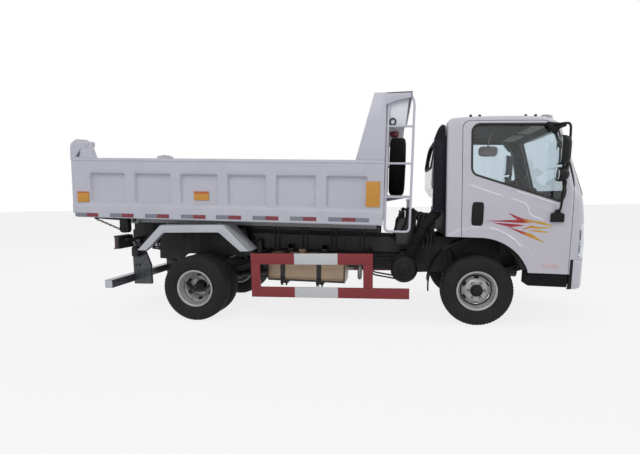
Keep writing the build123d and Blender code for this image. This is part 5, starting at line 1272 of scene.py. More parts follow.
def cab_width(z):
    """Half width of the cab at a height."""
    return cab_half - 0.062 / 0.805 * ramp(z - belt)


def nose_at(y, z, proud=0.0):
    """x of the cab's front at (y, z), bowed as front - bow (y / (w - bow_in))^2 and raked above the belt."""
    front = cab_nose - 0.045 / 0.43 * ramp(z - 1.0, 0.06) - 0.235 * ramp(z - belt, 0.06)
    return front - bow * (y / (cab_width(z) - bow_in)) ** 2 + proud


def back_at(z):
    """x of the rear wall, which leans back by 38 mm up to the cant rail."""
    return cab_back - 0.038 * np.clip((z - 1.005) / 1.235, 0, 1)


def side_relief(x, z):
    """How far the side's pressings stand proud at (x, z): the arch's rim and the crease under the window."""
    r = np.hypot(x - arch_at[0], z - arch_at[1])
    rim = 0.009 * soft_step((0.668 - r) / 0.018)
    fall = (1.56 - 0.305 * (x - 1.75)) - z
    ends = np.clip((x - 1.56) / 0.1, 0, 1) * np.clip((2.7 - x) / 0.1, 0, 1)
    crease = 0.007 * soft_step(fall / 0.02) * np.clip(1 - fall / 0.3, 0, 1) * ends
    return rim * np.clip((2.62 - x) / 0.3, 0, 1) + crease


def cab_ring(z, inset, pull=0.0):
    """One ring of the cab round a height: straight back, tight rear corners, straight sides, wide
    front corners as cubic curves and a front that bows as in nose_at."""
    w = cab_width(z) - inset - pull
    front = nose_at(0.0, z) - 0.006 * np.clip((1.0 - z) / 0.5, 0, 1) - inset - pull
    back = back_at(z) + inset + pull
    corner = max(0.03 - inset * 0.4, 0.008)
    t = np.linspace(0, 1, 15)[:, None]
    rear = spots(back, np.linspace(0, w - corner, 16))
    turn = np.linspace(0, pi / 2, 7)[1:]
    rear_corner = spots(back + corner - corner * np.cos(turn), w - corner + corner * np.sin(turn))
    side = spots(np.linspace(back + corner, front - bend_x, 86)[1:], w)
    p0, p3 = np.array((front - bend_x, w)), np.array((front - bow, w - bow_in))
    p1, p2 = p0 + (0.125, 0), p3 + (-0.014, 0.088)
    bend = ((1 - t) ** 3 * p0 + 3 * t * (1 - t) ** 2 * p1 + 3 * t * t * (1 - t) * p2 + t ** 3 * p3)[1:]
    y = np.linspace(w - bow_in, 0, 19)[1:]
    face = spots(front - bow * (y / (w - bow_in)) ** 2, y)
    half = np.concatenate((rear, rear_corner, side, bend, face))
    other = half[1:-1][::-1] * (1, -1)
    return np.concatenate((half, other))


def cab_skin(inset, low, spacing=0.014):
    """The cab's surface drawn in by inset: rings up to the cant rail, over it by R (1 - cos), R sin,
    and shrinking rings across the crowned roof z = edge + 0.014 (1 - k^2)."""
    heights = np.concatenate((np.arange(low, 1.8, spacing), np.linspace(1.8, cant, 18)))
    rings, levels = [], []
    for z in heights:
        ring = cab_ring(z, inset)
        rings.append(ring)
        levels.append(np.full(len(ring), z))
    r = cant_r - inset

    def over(ring, share):
        x = ring[:, 0]
        crest = roof - np.where(x > crown_x, 0.026 * ((x - crown_x) / 0.55) ** 2,
            0.016 * ((x - crown_x) / 0.505) ** 2)
        return cant + (crest - 0.006 - inset - cant) * share

    for turn in np.linspace(0, pi / 2, 9)[1:]:
        ring = cab_ring(cant + r * sin(turn) * 0.8, inset, r * (1 - cos(turn)))
        rings.append(ring)
        levels.append(over(ring, sin(turn)))
    last = rings[-1]
    centre = np.array((crown_x, 0.0))
    for k in (0.93, 0.85, 0.75, 0.62, 0.48, 0.34, 0.2, 0.08, 0.02):
        ring = centre + (last - centre) * k
        rings.append(ring)
        levels.append(over(ring, 1.0) + 0.014 * (1 - k * k))
    grid = np.concatenate((np.array(rings), np.array(levels)[..., None]), -1)
    x, y, z = grid[..., 0].copy(), grid[..., 1].copy(), grid[..., 2]
    on_side = np.clip((np.abs(y) - (cab_width(z) - inset - 0.02)) / 0.018, 0, 1) * (z < 2.1)
    grid[..., 1] += np.sign(y) * side_relief(x, z) * on_side
    swell = np.interp(z, (1.412, 1.44, 1.54, 1.6, 1.82, 2.03, 2.14, 2.235, 2.29),
        (0, 0.062, 0.13, 0.133, 0.125, 0.09, 0.06, 0.027, 0))
    across = soft_step((0.76 - np.abs(y)) / 0.11)
    at_back = np.clip((back_at(z) + inset + 0.11 - x) / 0.11, 0, 1)
    grid[..., 0] -= swell * across * at_back
    return grid


def shell_part(outer, inner):
    """A closed wall between two skins with the same columns: both surfaces, their crowns and the rim."""
    grid = np.concatenate((outer, inner[::-1]))
    n, rows = grid.shape[1], len(outer)
    points, quads = lattice(grid, wrap_rows=True, wrap_columns=True)
    bridge = (rows - 1) * n
    quads = [q for q in quads if not (bridge <= q[0] < bridge + n)]
    return points, quads + [list(range(bridge, bridge + n)), list(range(bridge + n, bridge + 2 * n))[::-1]]


def superellipse(count, power):
    """Unit superellipse: sign(cos t) |cos t|^power, sign(sin t) |sin t|^power, a box with round corners."""
    turn = full_turn(count)
    unit = spots(np.cos(turn), np.sin(turn))
    return np.sign(unit) * np.abs(unit) ** power


door_line = np.concatenate((((1.565, 2.172), (1.603, 0.925), (arch_at[0], 0.925), (2.25, 0.4), (2.734, 0.4)),
    arc((2.734, 1.54), (2.668, 1.84), (2.558, 2.115)), arc((2.558, 2.115), (2.501, 2.212), (2.4, 2.262))[1:],
    arc((1.64, 2.262), (1.585, 2.232), (1.565, 2.172))[:-1]))
window_line = np.concatenate((arc((1.668, 2.142), (1.693, 2.197), (1.748, 2.22), 8),
    arc((2.395, 2.22), (2.478, 2.183), (2.525, 2.105), 10), arc((2.525, 2.105), (2.6, 1.84), (2.635, 1.56), 12)[1:],
    arc((2.635, 1.56), (2.632, 1.47), (2.6, 1.412), 6)[1:], arc((1.75, 1.672), (1.698, 1.706), (1.68, 1.765), 8)))
screen_line = np.array(((-0.8, 1.475), (0.8, 1.475), (0.705, 2.212), (-0.705, 2.212)))
back_line = (0.0, 1.95) + superellipse(64, 0.28) * (0.52, 0.165)
under_line = np.concatenate((((1.0, 0.2), (1.0, 1.005), (arch_at[0], 1.005)),
    arc((arch_at[0], 1.005), (2.197, 0.845), (2.327, 0.64), 20)[1:],
    ((2.742, 0.64), (2.742, 0.8), (3.3, 0.8), (3.3, 0.2))))


cab_white = coated("white two-coat cab enamel", "D0CAD2", 0.24, dust=0.0, coat=0.7, grain=330.0, dent=0.012,
    mottle=0.012)
seal_black = coated("black window-seal rubber", "141516", 0.6, dust=0.15, grain=600.0)
dark_trim = coated("grained black trim plastic", "0D0E12", 0.55, dust=0.04, grain=800.0, dent=0.05, shine=0.25)
liner_cloth = coated("brown-grey headliner cloth", "5E554E", 0.9, grain=700.0, dent=0.12)

outer_skin, inner_skin = cab_skin(0.0, 0.6), cab_skin(0.03, 0.6)
whole = shell_part(outer_skin, inner_skin)
doorways = [("DIFFERENCE", prism(door_line, *ends)) for ends in ((-1.1, -0.8), (0.8, 1.1))]
openings = [("DIFFERENCE", prism(under_line, -1.2, 1.2)), ("DIFFERENCE", prism(screen_line, 2.3, 3.2, "x")),
    ("DIFFERENCE", prism(back_line, 1.1, 1.6, "x"))]
lamp_holes = [("DIFFERENCE", brick((2.82, 3.1), ends, (0.815, 1.19), 0.0)) for ends in ((-1.1, -0.64), (0.64, 1.1))]
pivot_plates = []
for side in (-1, 1):
    pivot_plates.append(plate(((2.645, 0.675), (2.735, 0.675), (2.882, 0.85), (2.882, 1.012), (2.645, 1.012)),
        *flank(side, 0.386, 0.418)))
piece("cab_panels", [carved("cab", whole, openings + doorways + lamp_holes)] + pivot_plates, "cab", cab_white,
    30, True, ["cab_shell"])

lining = shell_part(cab_skin(0.0315, 0.6, 0.04), cab_skin(0.038, 0.6, 0.04))
for name, low, high, look in (("cab_headliner", 2.215, 2.4, liner_cloth),
        ("cab_pillar_trim", 0.95, 2.2145, dark_trim)):
    slab = prism(((1.0, low), (1.0, high), (3.2, high), (3.2, low)), -1.2, 1.2)
    piece(name, [carved("lining", lining, openings + doorways + lamp_holes + [("INTERSECT", slab)])], "cab", look,
        40)

# Floor pan: one pressed step from the seat base over the arch down to the foot well.
pan_line = np.concatenate((((1.475, 1.008), (arch_at[0], 1.008)),
    arc((arch_at[0], 1.008), (2.199, 0.847), (2.33, 0.643), 20)[1:],
    ((2.738, 0.643), (2.738, 0.803), (2.762, 0.803))))
pan = np.concatenate((pan_line, (pan_line + (0.0, 0.022))[::-1]))
floor_parts = [plate(pan, *flank(side, 0.5, 0.934), 0.002) for side in (-1, 1)]
floor_parts += [plate(corners((1.475, 2.86), (1.01, 1.05)), -0.52, 0.52, 0.004),
    brick((2.74, 2.88), (-0.78, 0.78), (0.803, 0.823), 0.002)]
floor_parts += [plate(np.concatenate((pan_line[1:], ((2.86, 1.04), (arch_at[0], 1.04)))), *flank(side, 0.5, 0.515),
    0.002) for side in (-1, 1)]
piece("cab_floor", floor_parts, "cab", dark_trim, 35)

# ---- Doors --------------------------------------------------------------------------
# Pressed leaves hung on the cab's front posts, cut from the same drawn panel; each has a
# black rubber frame round its glass, a moulded inner panel and a recessed pull handle.
window_gap = drawn_in(window_line, -0.002)
leaf_line = drawn_in(door_line, 0.006)
for side, name in flanks:
    ends = flank(side, 0.8, 1.1)
    leaf = carved("door", whole, [("INTERSECT", prism(leaf_line, *ends)), ("DIFFERENCE", prism(under_line, *ends)),
        ("DIFFERENCE", prism(window_gap, *ends))])
    piece(f"door_{name}_leaf", [leaf], f"door_{name}", cab_white, 30, True, [f"door_{name}"])
    card = carved("card", lining, [("INTERSECT", prism(drawn_in(door_line, 0.012), *ends)),
        ("DIFFERENCE", prism(under_line + (0, 0.02), *ends)), ("DIFFERENCE", prism(window_gap, *ends))])
    piece(f"door_{name}_card", [card], f"door_{name}", dark_trim, 40)
    edge = lined(window_line, spacing=0.015)
    frame_path = spots(edge[:, 0], side * (cab_width(edge[:, 1]) - 0.004), edge[:, 1])
    piece(f"door_{name}_window_seal", [tube(frame_path, 0.0125, 10, True)], f"door_{name}", seal_black,
        50)
    rim = lined(drawn_in(door_line, -0.004), spacing=0.03)
    rim = rim[(rim[:, 1] > 1.02) | ((rim[:, 1] > 0.66) & (rim[:, 0] > 2.45))]
    start = int(np.argmax(np.linalg.norm(rim - np.roll(rim, 1, 0), axis=1)))
    rim = np.roll(rim, -start, 0)
    rim_path = spots(rim[:, 0], side * (cab_width(rim[:, 1]) - 0.036), rim[:, 1])
    piece(f"door_{name}_weatherstrip", [tube(rim_path, 0.012, 8)], "cab", seal_black, 50)

# ---- Pressed creases, streaks -------------------------------------------------------
# Raised folds on the doors, glossier and a lighter white than the cab as a painted
# highlight of the light from above, and vinyl streaks that run from red through orange
# to gold across the lower door.
def on_side(x, z, side, proud):
    """Points standing proud of the cab's side at (x, z)."""
    return spots(x, side * (cab_width(z) + side_relief(x, z) + proud), z)


def fold(path, side):
    """A pressed fold along (x, z) points: an upper bevel and a shorter lower one, fading at both ends."""
    path = lined(eased(path, 0.035, 6), False, 0.012)
    run = np.linspace(0, 1, len(path))
    fade = np.clip(np.minimum(run, 1 - run) / 0.1, 0.05, 1)[:, None]
    ahead = np.gradient(path, axis=0)
    ahead /= np.linalg.norm(ahead, axis=1, keepdims=True)
    up = spots(-ahead[:, 1], ahead[:, 0])
    up *= np.where(up @ (0.5, 1.0) < 0, -1, 1)[:, None]
    rows = []
    for reach, proud in ((0.012, -0.001), (0.003, 0.007), (-0.003, 0.007), (-0.008, -0.001)):
        spot = path + up * reach * fade
        rows.append(on_side(spot[:, 0], spot[:, 1], side, proud * fade[:, 0] - 0.0012))
    rows.append(on_side(path[:, 0], path[:, 1], side, -0.006))
    return lattice(np.array(rows), wrap_rows=True, capped=True)


folds = (((1.661, 1.585), (1.7, 1.556), (1.85, 1.506), (2.034, 1.449)),
    ((2.076, 1.442), (2.262, 1.378), (2.298, 1.262), (2.46, 1.204)),
    ((1.875, 1.116), (1.96, 1.104), (2.07, 1.052), (2.17, 0.985), (2.252, 0.905)),
    ((1.7, 1.121), (1.74, 1.123), (1.79, 1.122)), ((2.13, 1.519), (2.35, 1.452), (2.585, 1.38)))
streaks = ((((1.871, 1.19), (2.08, 1.203), (2.215, 1.214), (2.3, 1.178)),
    ((1.871, 1.186), (2.06, 1.182), (2.18, 1.176), (2.3, 1.176))),
    (((2.08, 1.282), (2.17, 1.246), (2.28, 1.206), (2.33, 1.184)),
    ((2.08, 1.28), (2.14, 1.232), (2.205, 1.196), (2.33, 1.18))),
    (((1.925, 1.172), (2.08, 1.166), (2.19, 1.16), (2.25, 1.15)),
    ((1.925, 1.17), (2.06, 1.14), (2.12, 1.128), (2.25, 1.148))),
    (((2.09, 1.13), (2.22, 1.092), (2.33, 1.062), (2.47, 0.972)),
    ((2.09, 1.126), (2.22, 1.066), (2.33, 1.02), (2.47, 0.968))),
    (((2.255, 1.222), (2.36, 1.202), (2.44, 1.192), (2.545, 1.152)),
    ((2.255, 1.218), (2.34, 1.186), (2.42, 1.168), (2.545, 1.148))),
    (((2.235, 1.112), (2.32, 1.152), (2.4, 1.138), (2.53, 1.14)),
    ((2.235, 1.108), (2.32, 1.126), (2.4, 1.118), (2.53, 1.136))),
    (((2.3, 1.098), (2.38, 1.104), (2.43, 1.1), (2.505, 1.086)),
    ((2.3, 1.094), (2.38, 1.086), (2.43, 1.08), (2.505, 1.082))))


def vinyl_film(name, ends, stops):
    """Vinyl film whose colour runs along x between two ends through (place, colour) stops."""
    material, tree, where = fresh(name)
    flow = ranged(tree, add(tree, "ShaderNodeSeparateXYZ", {0: where}).outputs["X"], *ends, 0.0, 1.0)
    scale = add(tree, "ShaderNodeValToRGB", {0: flow})
    for place, colour in stops:
        stop = scale.color_ramp.elements.new(place) if 0 < place < 1 else scale.color_ramp.elements[-int(place)]
        stop.color = linear(colour)
    grain = noise(tree, where, 340.0)
    press = add(tree, "ShaderNodeBump", {"Strength": 0.1, "Distance": 0.0003, "Height": grain})
    surfaced(tree, {"Base Color": scale.outputs[0], "Roughness": 0.3, "Coat Weight": 0.4, "Normal": press.outputs[0]})
    return material


vinyl_look = vinyl_film("red to gold vinyl film", (2.12, 2.52),
    ((0, "A3122A"), (1, "D2B12C"), (0.34, "B82A26"), (0.48, "D08A1E")))
sticker_film = coated("pale pink paper sticker", "D9C3C4", 0.6, grain=500.0, mottle=0.12)
# The folds' enamel is lighter than the cab's: a painted highlight along their crests.
highlight_white = coated("polished white cab enamel", "F6F4F8", 0.12, coat=1.0, grain=330.0, dent=0.01, mottle=0.01)
for side, name in flanks:
    piece(f"door_{name}_folds", [fold(path, side) for path in folds], f"door_{name}", highlight_white, 20)
    vinyl = []
    for upper, lower in streaks:
        t = np.linspace(0, 1, 25)
        knots = np.linspace(0, 1, 4)
        edges = [np.stack([np.interp(t, knots, np.array(edge)[:, i]) for i in (0, 1)], -1) for edge in (upper, lower)]
        sheet = np.stack([edges[0] * (1 - k) + edges[1] * k for k in (0.0, 0.33, 0.67, 1.0)])
        top = on_side(sheet[..., 0], sheet[..., 1], side, 0.0014)
        under = on_side(sheet[..., 0], sheet[..., 1], side, -0.0006)
        vinyl.append(lattice(np.concatenate((top, under[::-1])), wrap_rows=True, capped=True))
    piece(f"door_{name}_streaks", vinyl, f"door_{name}", vinyl_look, 30)
    sticker = plate(corners((2.47, 2.622), (0.703, 0.751)), *flank(side, 0.9655, 0.9675), 0.0004)
    piece(f"door_{name}_sticker", [sticker], f"door_{name}", sticker_film, 30)

# ---- Glazing ------------------------------------------------------------------------
# Curved toughened panes, clear with a faint blue cast, held in black rubber; the
# windscreen and rear window sit in thicker seals than the door glass.
def clear_glass(name, colour):
    """Soda-lime glass: fully transmitting, index 1.45, slightly blue, with a thin film of dust."""
    material, tree, where = fresh(name)
    haze = ranged(tree, noise(tree, where, 6.0, 6.0), 0.5, 0.9, 0.0, 0.05)
    surfaced(tree, {"Base Color": linear(colour), "Roughness": haze, "Transmission Weight": 1.0, "IOR": 1.45})
    return material


pane_glass = clear_glass("toughened soda-lime glass", "DCE5EA")
for name in ("cab_glass", "door_glass_left", "door_glass_right"):
    finish(name, pane_glass)


edge = lined(np.concatenate((arc((-0.77, 1.475), (-0.792, 1.485), (-0.797, 1.51), 5),
    arc((-0.708, 2.177), (-0.7, 2.205), (-0.675, 2.212), 5), arc((0.675, 2.212), (0.7, 2.205), (0.708, 2.177), 5),
    arc((0.797, 1.51), (0.792, 1.485), (0.77, 1.475), 5))), spacing=0.03)
screen_path = spots(nose_at(edge[:, 0], edge[:, 1], 0.001), edge[:, 0], edge[:, 1])
rear_edge = lined(back_line, spacing=0.025)
back_x = np.interp(rear_edge[:, 1], (1.82, 2.03, 2.14), (1.29, 1.318, 1.345)) - 0.001
rear_path = spots(back_x, rear_edge[:, 0], rear_edge[:, 1])
piece("windscreen_seal", [tube(screen_path, 0.016, 10, True)], "cab", seal_black, 50)
piece("rear_window_seal", [tube(rear_path, 0.015, 10, True)], "cab", seal_black, 50)

# ---- Front panel --------------------------------------------------------------------
# A black moulded grille with a raised frame and slats on the white nose, corner lamps
# under clear covers, two wipers parked along the screen, and a painted steel bumper.
grille_black = coated("satin black grille plastic", "121315", 0.35, dust=0.08, grain=500.0, coat=0.2)
slats = []
for z, half, thick in ((0.905, 0.5, 0.01), (0.948, 0.505, 0.007), (0.985, 0.51, 0.007), (1.022, 0.51, 0.007),
        (1.059, 0.505, 0.007), (1.1, 0.5, 0.01)):
    run = np.linspace(-half, half, 33)
    slats.append(tube(spots(nose_at(run, z, 0.01), run, z), thick, 10))
for side in (-1, 1):
    run = np.linspace(0.905, 1.1, 9)
    slats.append(tube(spots(nose_at(side * 0.505, run, 0.01), side * 0.505, run), 0.01, 10))
piece("grille_slats", slats, "cab", grille_black, 50)
finish("front_grille", grille_black)

lamp_clear = clear_glass("clear polycarbonate lamp cover", "F4F6F8")
amber = coated("amber indicator lens", "D9730F", 0.15, coat=0.8, grain=90.0, dent=0.3)
reflector = coated("vacuum-metallised reflector", "989CA6", 0.16, metal=0.9, grain=120.0)
cover_skin = shell_part(cab_skin(0.0015, 0.74, 0.03), cab_skin(0.0055, 0.74, 0.03))
bowl_skin = shell_part(cab_skin(0.032, 0.74, 0.03), cab_skin(0.036, 0.74, 0.03))
for side, name in flanks:
    window = flank(side, 0.644, 1.1)
    cover = carved("cover", cover_skin, [("INTERSECT", brick((2.824, 3.1), window, (0.818, 1.187), 0.0))])
    piece(f"headlamp_{name}_cover", [cover], "cab", lamp_clear, 35)
    bowl = carved("bowl", bowl_skin, [("INTERSECT", brick((2.822, 3.1), window, (0.816, 1.189), 0.0))])
    bowls = [bowl]
    for z in (0.905, 1.045):
        bowls.append(turned(((0.062, 0.02), (0.058, 0.02), (0.052, 0.004), (0.03, -0.01), (pole, -0.014),
            (pole, -0.018), (0.034, -0.016), (0.06, -0.004)), (2.895, side * 0.735, z), (1, side * 0.25, 0), 32))
    piece(f"headlamp_{name}_reflectors", bowls, "cab", reflector, 40, True,
        ["headlamps"] if side < 0 else ())
    piece(f"indicator_{name}", [plate(np.array(corners((0.655, 0.77), (1.115, 1.172))) * (side, 1), 2.855, 2.88,
        0.004, "x")], "cab", amber, 40)

front_low = cab_ring(1.0, 0.0)
levels = np.array((0.47, 0.473, 0.482, 0.497, 0.6, 0.7, 0.785, 0.7955, 0.7985))
draws = np.array((0.03, 0.018, 0.007, 0.0, 0.0, 0.0, 0.0, 0.003, 0.008))
outer_rings, inner_rings = (np.stack([np.column_stack((cab_ring(1.0, d + sheet), np.full(len(front_low), z))) for d,
    z in zip(draws, levels)]) for sheet in (0.0, 0.025))
bumper_wall = lattice(np.concatenate((outer_rings, inner_rings[::-1])), wrap_rows=True, wrap_columns=True)
end_caps = carved("bumper ends", bumper_wall, [("INTERSECT", brick((2.742, 2.7755), (-1.1, 1.1), (0.3, 0.9), 0.0))])
slot_cut = [("INTERSECT", brick((2.776, 3.1), (-1.1, 1.1), (0.3, 0.9), 0.0)),
    ("DIFFERENCE", plate(((-0.42, 0.52), (0.42, 0.52), (0.46, 0.61), (-0.46, 0.61)), 2.8, 3.1, 0.0, "x"))]
slot_cut += [("DIFFERENCE", plate(corners((side * 0.6, side * 0.8), (0.535, 0.635)), 2.7, 3.1, 0.0, "x"))
    for side in (-1, 1)]
piece("bumper_face", [carved("bumper", bumper_wall, slot_cut)], "cab", cab_white, 30, True, ["bumper"])
piece("bumper_end_caps", [end_caps], "cab", dark_trim, 30)
fog = [turned(((0.042, 0.012), (0.038, 0.014), (pole, 0.016), (pole, -0.02), (0.042, -0.02)),
    (2.88, side * 0.7, 0.585), (1, side * 0.2, 0), 28) for side in (-1, 1)]
piece("fog_lamps", fog, "cab", reflector, 40)
y = np.linspace(-0.455, 0.455, 25)
mesh_bars = [tube(spots(2.95 - bow * (y / 0.82) ** 2, y, z), 0.005, 8) for z in (0.535, 0.557, 0.579, 0.6)]
piece("bumper_intake", mesh_bars + [brick((2.79, 2.8), (-0.86, 0.86), (0.505, 0.655), 0.003)], "cab", dark_trim,
    45)

wipers = []
for y0, y1 in ((0.1, 0.72), (-0.62, 0.0)):
    low, high = 1.5, 1.545
    a, b = np.array((nose_at(y0, low, 0.022), y0, low)), np.array((nose_at(y1, high, 0.022), y1, high))
    wipers.append(tube(np.linspace(a, b, 12) + np.array((0.006, 0, 0)), 0.006, 8))
    pivot = np.array((nose_at(y0 - 0.06, belt, 0.012), y0 - 0.06, belt))
    wipers.append(tube(eased((pivot, pivot + (0.012, 0.1, 0.03), (a + b) / 2 + (0.012, 0, 0)), 0.04), 0.007, 8))
    wipers.append(turned(((pole, 0.014), (0.014, 0.012), (0.018, 0.0), (0.018, -0.016), (pole, -0.016)), pivot,
        (1, 0, 0.1), 16))
piece("wipers", wipers, "cab", seal_black, 45)

# Roof drip studs and the marker lamp over the door.
studs = [turned(((pole, 0.02), (0.012, 0.017), (0.016, 0.006), (0.018, -0.01), (pole, -0.012)), (x, -0.8, 2.318),
    (0, -0.1, 1), 14) for x in (1.658, 1.753, 2.23, 2.331)]
piece("roof_studs", studs + mirrored(studs), "cab", dark_trim, 40)
lens = turned(((pole, 0.03), (0.04, 0.027), (0.062, 0.018), (0.07, 0.002), (0.072, -0.028), (pole, -0.03)),
    (2.5, -0.6, 2.338), (0.05, -0.05, 1), 28)
marker_lens = coated("smoked acrylic marker lens", "9EA4AE", 0.12, coat=0.9, grain=90.0, dent=0.2)
piece("roof_marker_lamps", [lens] + mirrored([lens]), "cab", marker_lens, 45)

# ---- Steps and wheel-arch liners ----------------------------------------------------
# Black polypropylene mouldings: a box step under each door with raised ribs to stand on
# and slots along its side, and a liner round the arch, screwed to the panel's edge.
liner_black = coated("black polypropylene moulding", "0C0D11", 0.62, dust=0.08, dust_colour="55504A", grain=420.0,
    dent=0.08, shine=0.2)
finish("arch_liners_and_steps", liner_black)
ribs = []
for k in range(9):
    x = 2.365 + k * 0.042
    ribs.append(brick((x, x + 0.014), (-0.942, -0.815), (0.622, 0.63), 0.002))
for z in (0.53, 0.56, 0.59):
    ribs.append(brick((2.35, 2.72), (-0.9495, -0.943), about(z, 0.006), 0.002))
for k in range(9):
    a = radians(24 + k * 18)
    ribs.append(bolt((arch_at[0] + 0.538 * cos(a), -0.938, arch_at[1] + 0.538 * sin(a)), (0, -1, 0), 0.014, 0.006))
angle = np.linspace(radians(21), radians(188), 60)
lip = spots(arch_at[0] + 0.541 * np.cos(angle), -0.946, arch_at[1] + 0.541 * np.sin(angle))
ribs.append(tube(lip, 0.009, 8))
piece("step_ribs_and_arch_lips", ribs + mirrored(ribs), "cab", liner_black, 40)

# ---- Door furniture, mirrors --------------------------------------------------------
# A black pull handle in a dished bezel; the mirrors hang on a bent tube between a bracket
# at the top of the screen post and one on the door: a tall flat glass over a round one.
mirror_black = coated("black mirror housing", "090A0E", 0.45, dust=0.03, grain=700.0, dent=0.05, shine=0.25)
mirror_y, handle_x = 1.1, 1.7625
mirror_glass = coated("silvered mirror glass", "DDE2E6", 0.03, metal=1.0, grain=50.0, dent=0.0, mottle=0.0)
for side, name in flanks:
    body, round_at = f"door_{name}", (2.511, side * mirror_y, 1.688)
    bezel = plate((handle_x, 1.262) + superellipse(40, 0.35) * (0.0625, 0.128), *flank(side, 0.95, 0.974), 0.004)
    paddle = plate(corners((1.722, 1.805), (1.17, 1.33)), *flank(side, 0.97, 0.984), 0.006)
    barrel = turned(((pole, 0.014), (0.011, 0.013), (0.013, 0.0), (pole, 0.0)), (handle_x, side * 0.97, 1.362),
        (0, side, 0), 18)
    piece(f"door_{name}_handle", [bezel, paddle, barrel], body, dark_trim, 40)
    arm = eased(((2.47, side * 0.905, 2.205), (2.535, side * 1.03, 2.205), (2.587, side * mirror_y, 2.2),
        (2.593, side * mirror_y, 2.06), (2.565, side * mirror_y, 1.5), (2.574, side * 1.06, 1.36),
        (2.58, side * 0.98, 1.285)), 0.05)
    oval = superellipse(48, 0.42)
    # the shell narrows from the glass to its back as a superellipse: size = (1 - (d / 0.108)^2.6)^(1 / 2.6)
    depth = np.array((0.0, 0.002, 0.006, 0.03, 0.055, 0.075, 0.09, 0.1, 0.106))
    size = (1 - (depth / 0.108) ** 2.6) ** (1 / 2.6) - np.array((0.05, 0.02, 0, 0, 0, 0, 0, 0, 0))
    rings = np.stack([spots(2.497 + d, side * (mirror_y + 0.088 * k * oval[:, 0]),
        1.93 + 0.146 * (0.35 + 0.65 * k) * oval[:, 1]) for d, k in zip(depth, size)])
    head = lattice(rings, wrap_columns=True, capped=True)
    round_head = turned(((pole, -0.02), (0.064, -0.018), (0.071, -0.01), (0.073, 0.01), (0.07, 0.04), (0.06, 0.07),
        (0.04, 0.088), (pole, 0.095)), round_at, (1, 0, 0), 40)
    knuckles = [turned(both_ends(((pole, 0.03), (0.018, 0.028), (0.022, 0.01))), (x, side * mirror_y, z), (0, 0, 1),
        20) for x, z in ((2.587, 1.8), (2.58, 1.745), (2.573, 1.6))]
    foot = plate(eased(((2.505, 1.196), (2.637, 1.196), (2.637, 1.286), (2.595, 1.3), (2.575, 1.33), (2.551, 1.33),
        (2.541, 1.3), (2.505, 1.284)), 0.012, 4), *flank(side, 0.967, 1.002), 0.006)
    top_foot = plate(eased(((2.415, 2.235), (2.606, 2.222), (2.606, 2.19), (2.54, 2.165), (2.512, 2.105),
        (2.484, 2.12), (2.415, 2.205)), 0.012, 4), *flank(side, 0.905, 0.945), 0.006)
    piece(f"mirror_{name}_set", [tube(arm, 0.012, 12), head, round_head, foot, top_foot] + knuckles, body,
        mirror_black, 40, True, [f"mirror_{name}"])
    glass = plate(np.array((mirror_y, 1.93)) * (side, 1) + oval * (0.08, 0.137), 2.493, 2.4965, 0.001, "x")
    dome = turned(((pole, -0.0275), (0.03, -0.0265), (0.055, -0.024), (0.066, -0.0205), (0.066, -0.016),
        (pole, -0.016)), round_at, (1, 0, 0), 36)
    piece(f"mirror_{name}_glass", [glass, dome], body, mirror_glass, 40)

# ---- Dashboard and steering wheel ---------------------------------------------------
# Grained black moulding over the full width, with an instrument hood, round vents, a dark
# screen and a glove-box lid; a two-piece rim wheel of soft black plastic on its column.
dash_line = eased(((2.52, 1.47), (2.545, 1.48), (2.7, 1.505), (2.87, 1.462), (2.86, 1.06), (2.7, 1.06), (2.6, 1.2),
    (2.48, 1.29), (2.49, 1.39), (2.52, 1.47)), 0.02, 5)[1:-1]
inside_cab = lattice(cab_skin(0.04, 0.95, 0.05), wrap_columns=True, capped=True)
dash = [carved("dash", plate(dash_line, -0.858, 0.858, 0.008), [("INTERSECT", inside_cab)]),
    plate(eased(((2.52, 1.46), (2.545, 1.56), (2.6, 1.592), (2.7, 1.58), (2.765, 1.49), (2.7, 1.47)), 0.02, 5), 0.23,
    0.64, 0.02), plate(eased(((2.56, 1.48), (2.61, 1.53), (2.72, 1.53), (2.77, 1.49), (2.7, 1.48)), 0.02, 5), -0.62,
    -0.06, 0.016)]
vent_z = 1.352
for y in (-0.74, -0.16, 0.06, 0.76):
    dash.append(turned(((0.03, 0.006), (0.037, 0.005), (0.04, 0.0), (0.04, -0.012), (0.03, -0.012)),
        (2.489, y, vent_z), (-1, 0, 0.05), 28))
    dash += [brick((2.482, 2.49), about(y, 0.029), about(vent_z + d, 0.0025), 0.001)
        for d in (-0.018, -0.006, 0.006, 0.018)]
dash.append(plate(rounded((-0.64, -0.26), (1.3, 1.328), 0.012), 2.478, 2.484, 0.002, "x"))
for y in (-0.09, -0.05, -0.01):
    dash.append(turned(((pole, 0.014), (0.012, 0.012), (0.014, 0.0), (pole, 0.0)), (2.484, y, 1.318), (-1, 0, 0), 18))
piece("dashboard_moulding", dash, "cab", dark_trim, 35, True, ["dashboard"])
dark_screen = coated("dark glass display", "08090C", 0.08, coat=1.0, grain=60.0, dent=0.0, mottle=0.02)
piece("dash_screen", [plate(rounded((-0.14, 0.04), (1.385, 1.462), 0.008), 2.487, 2.4905, 0.001, "x"),
    plate(rounded((0.28, 0.59), (1.48, 1.555), 0.03), 2.5265, 2.53, 0.001, "x")], "cab", dark_screen,
    35)

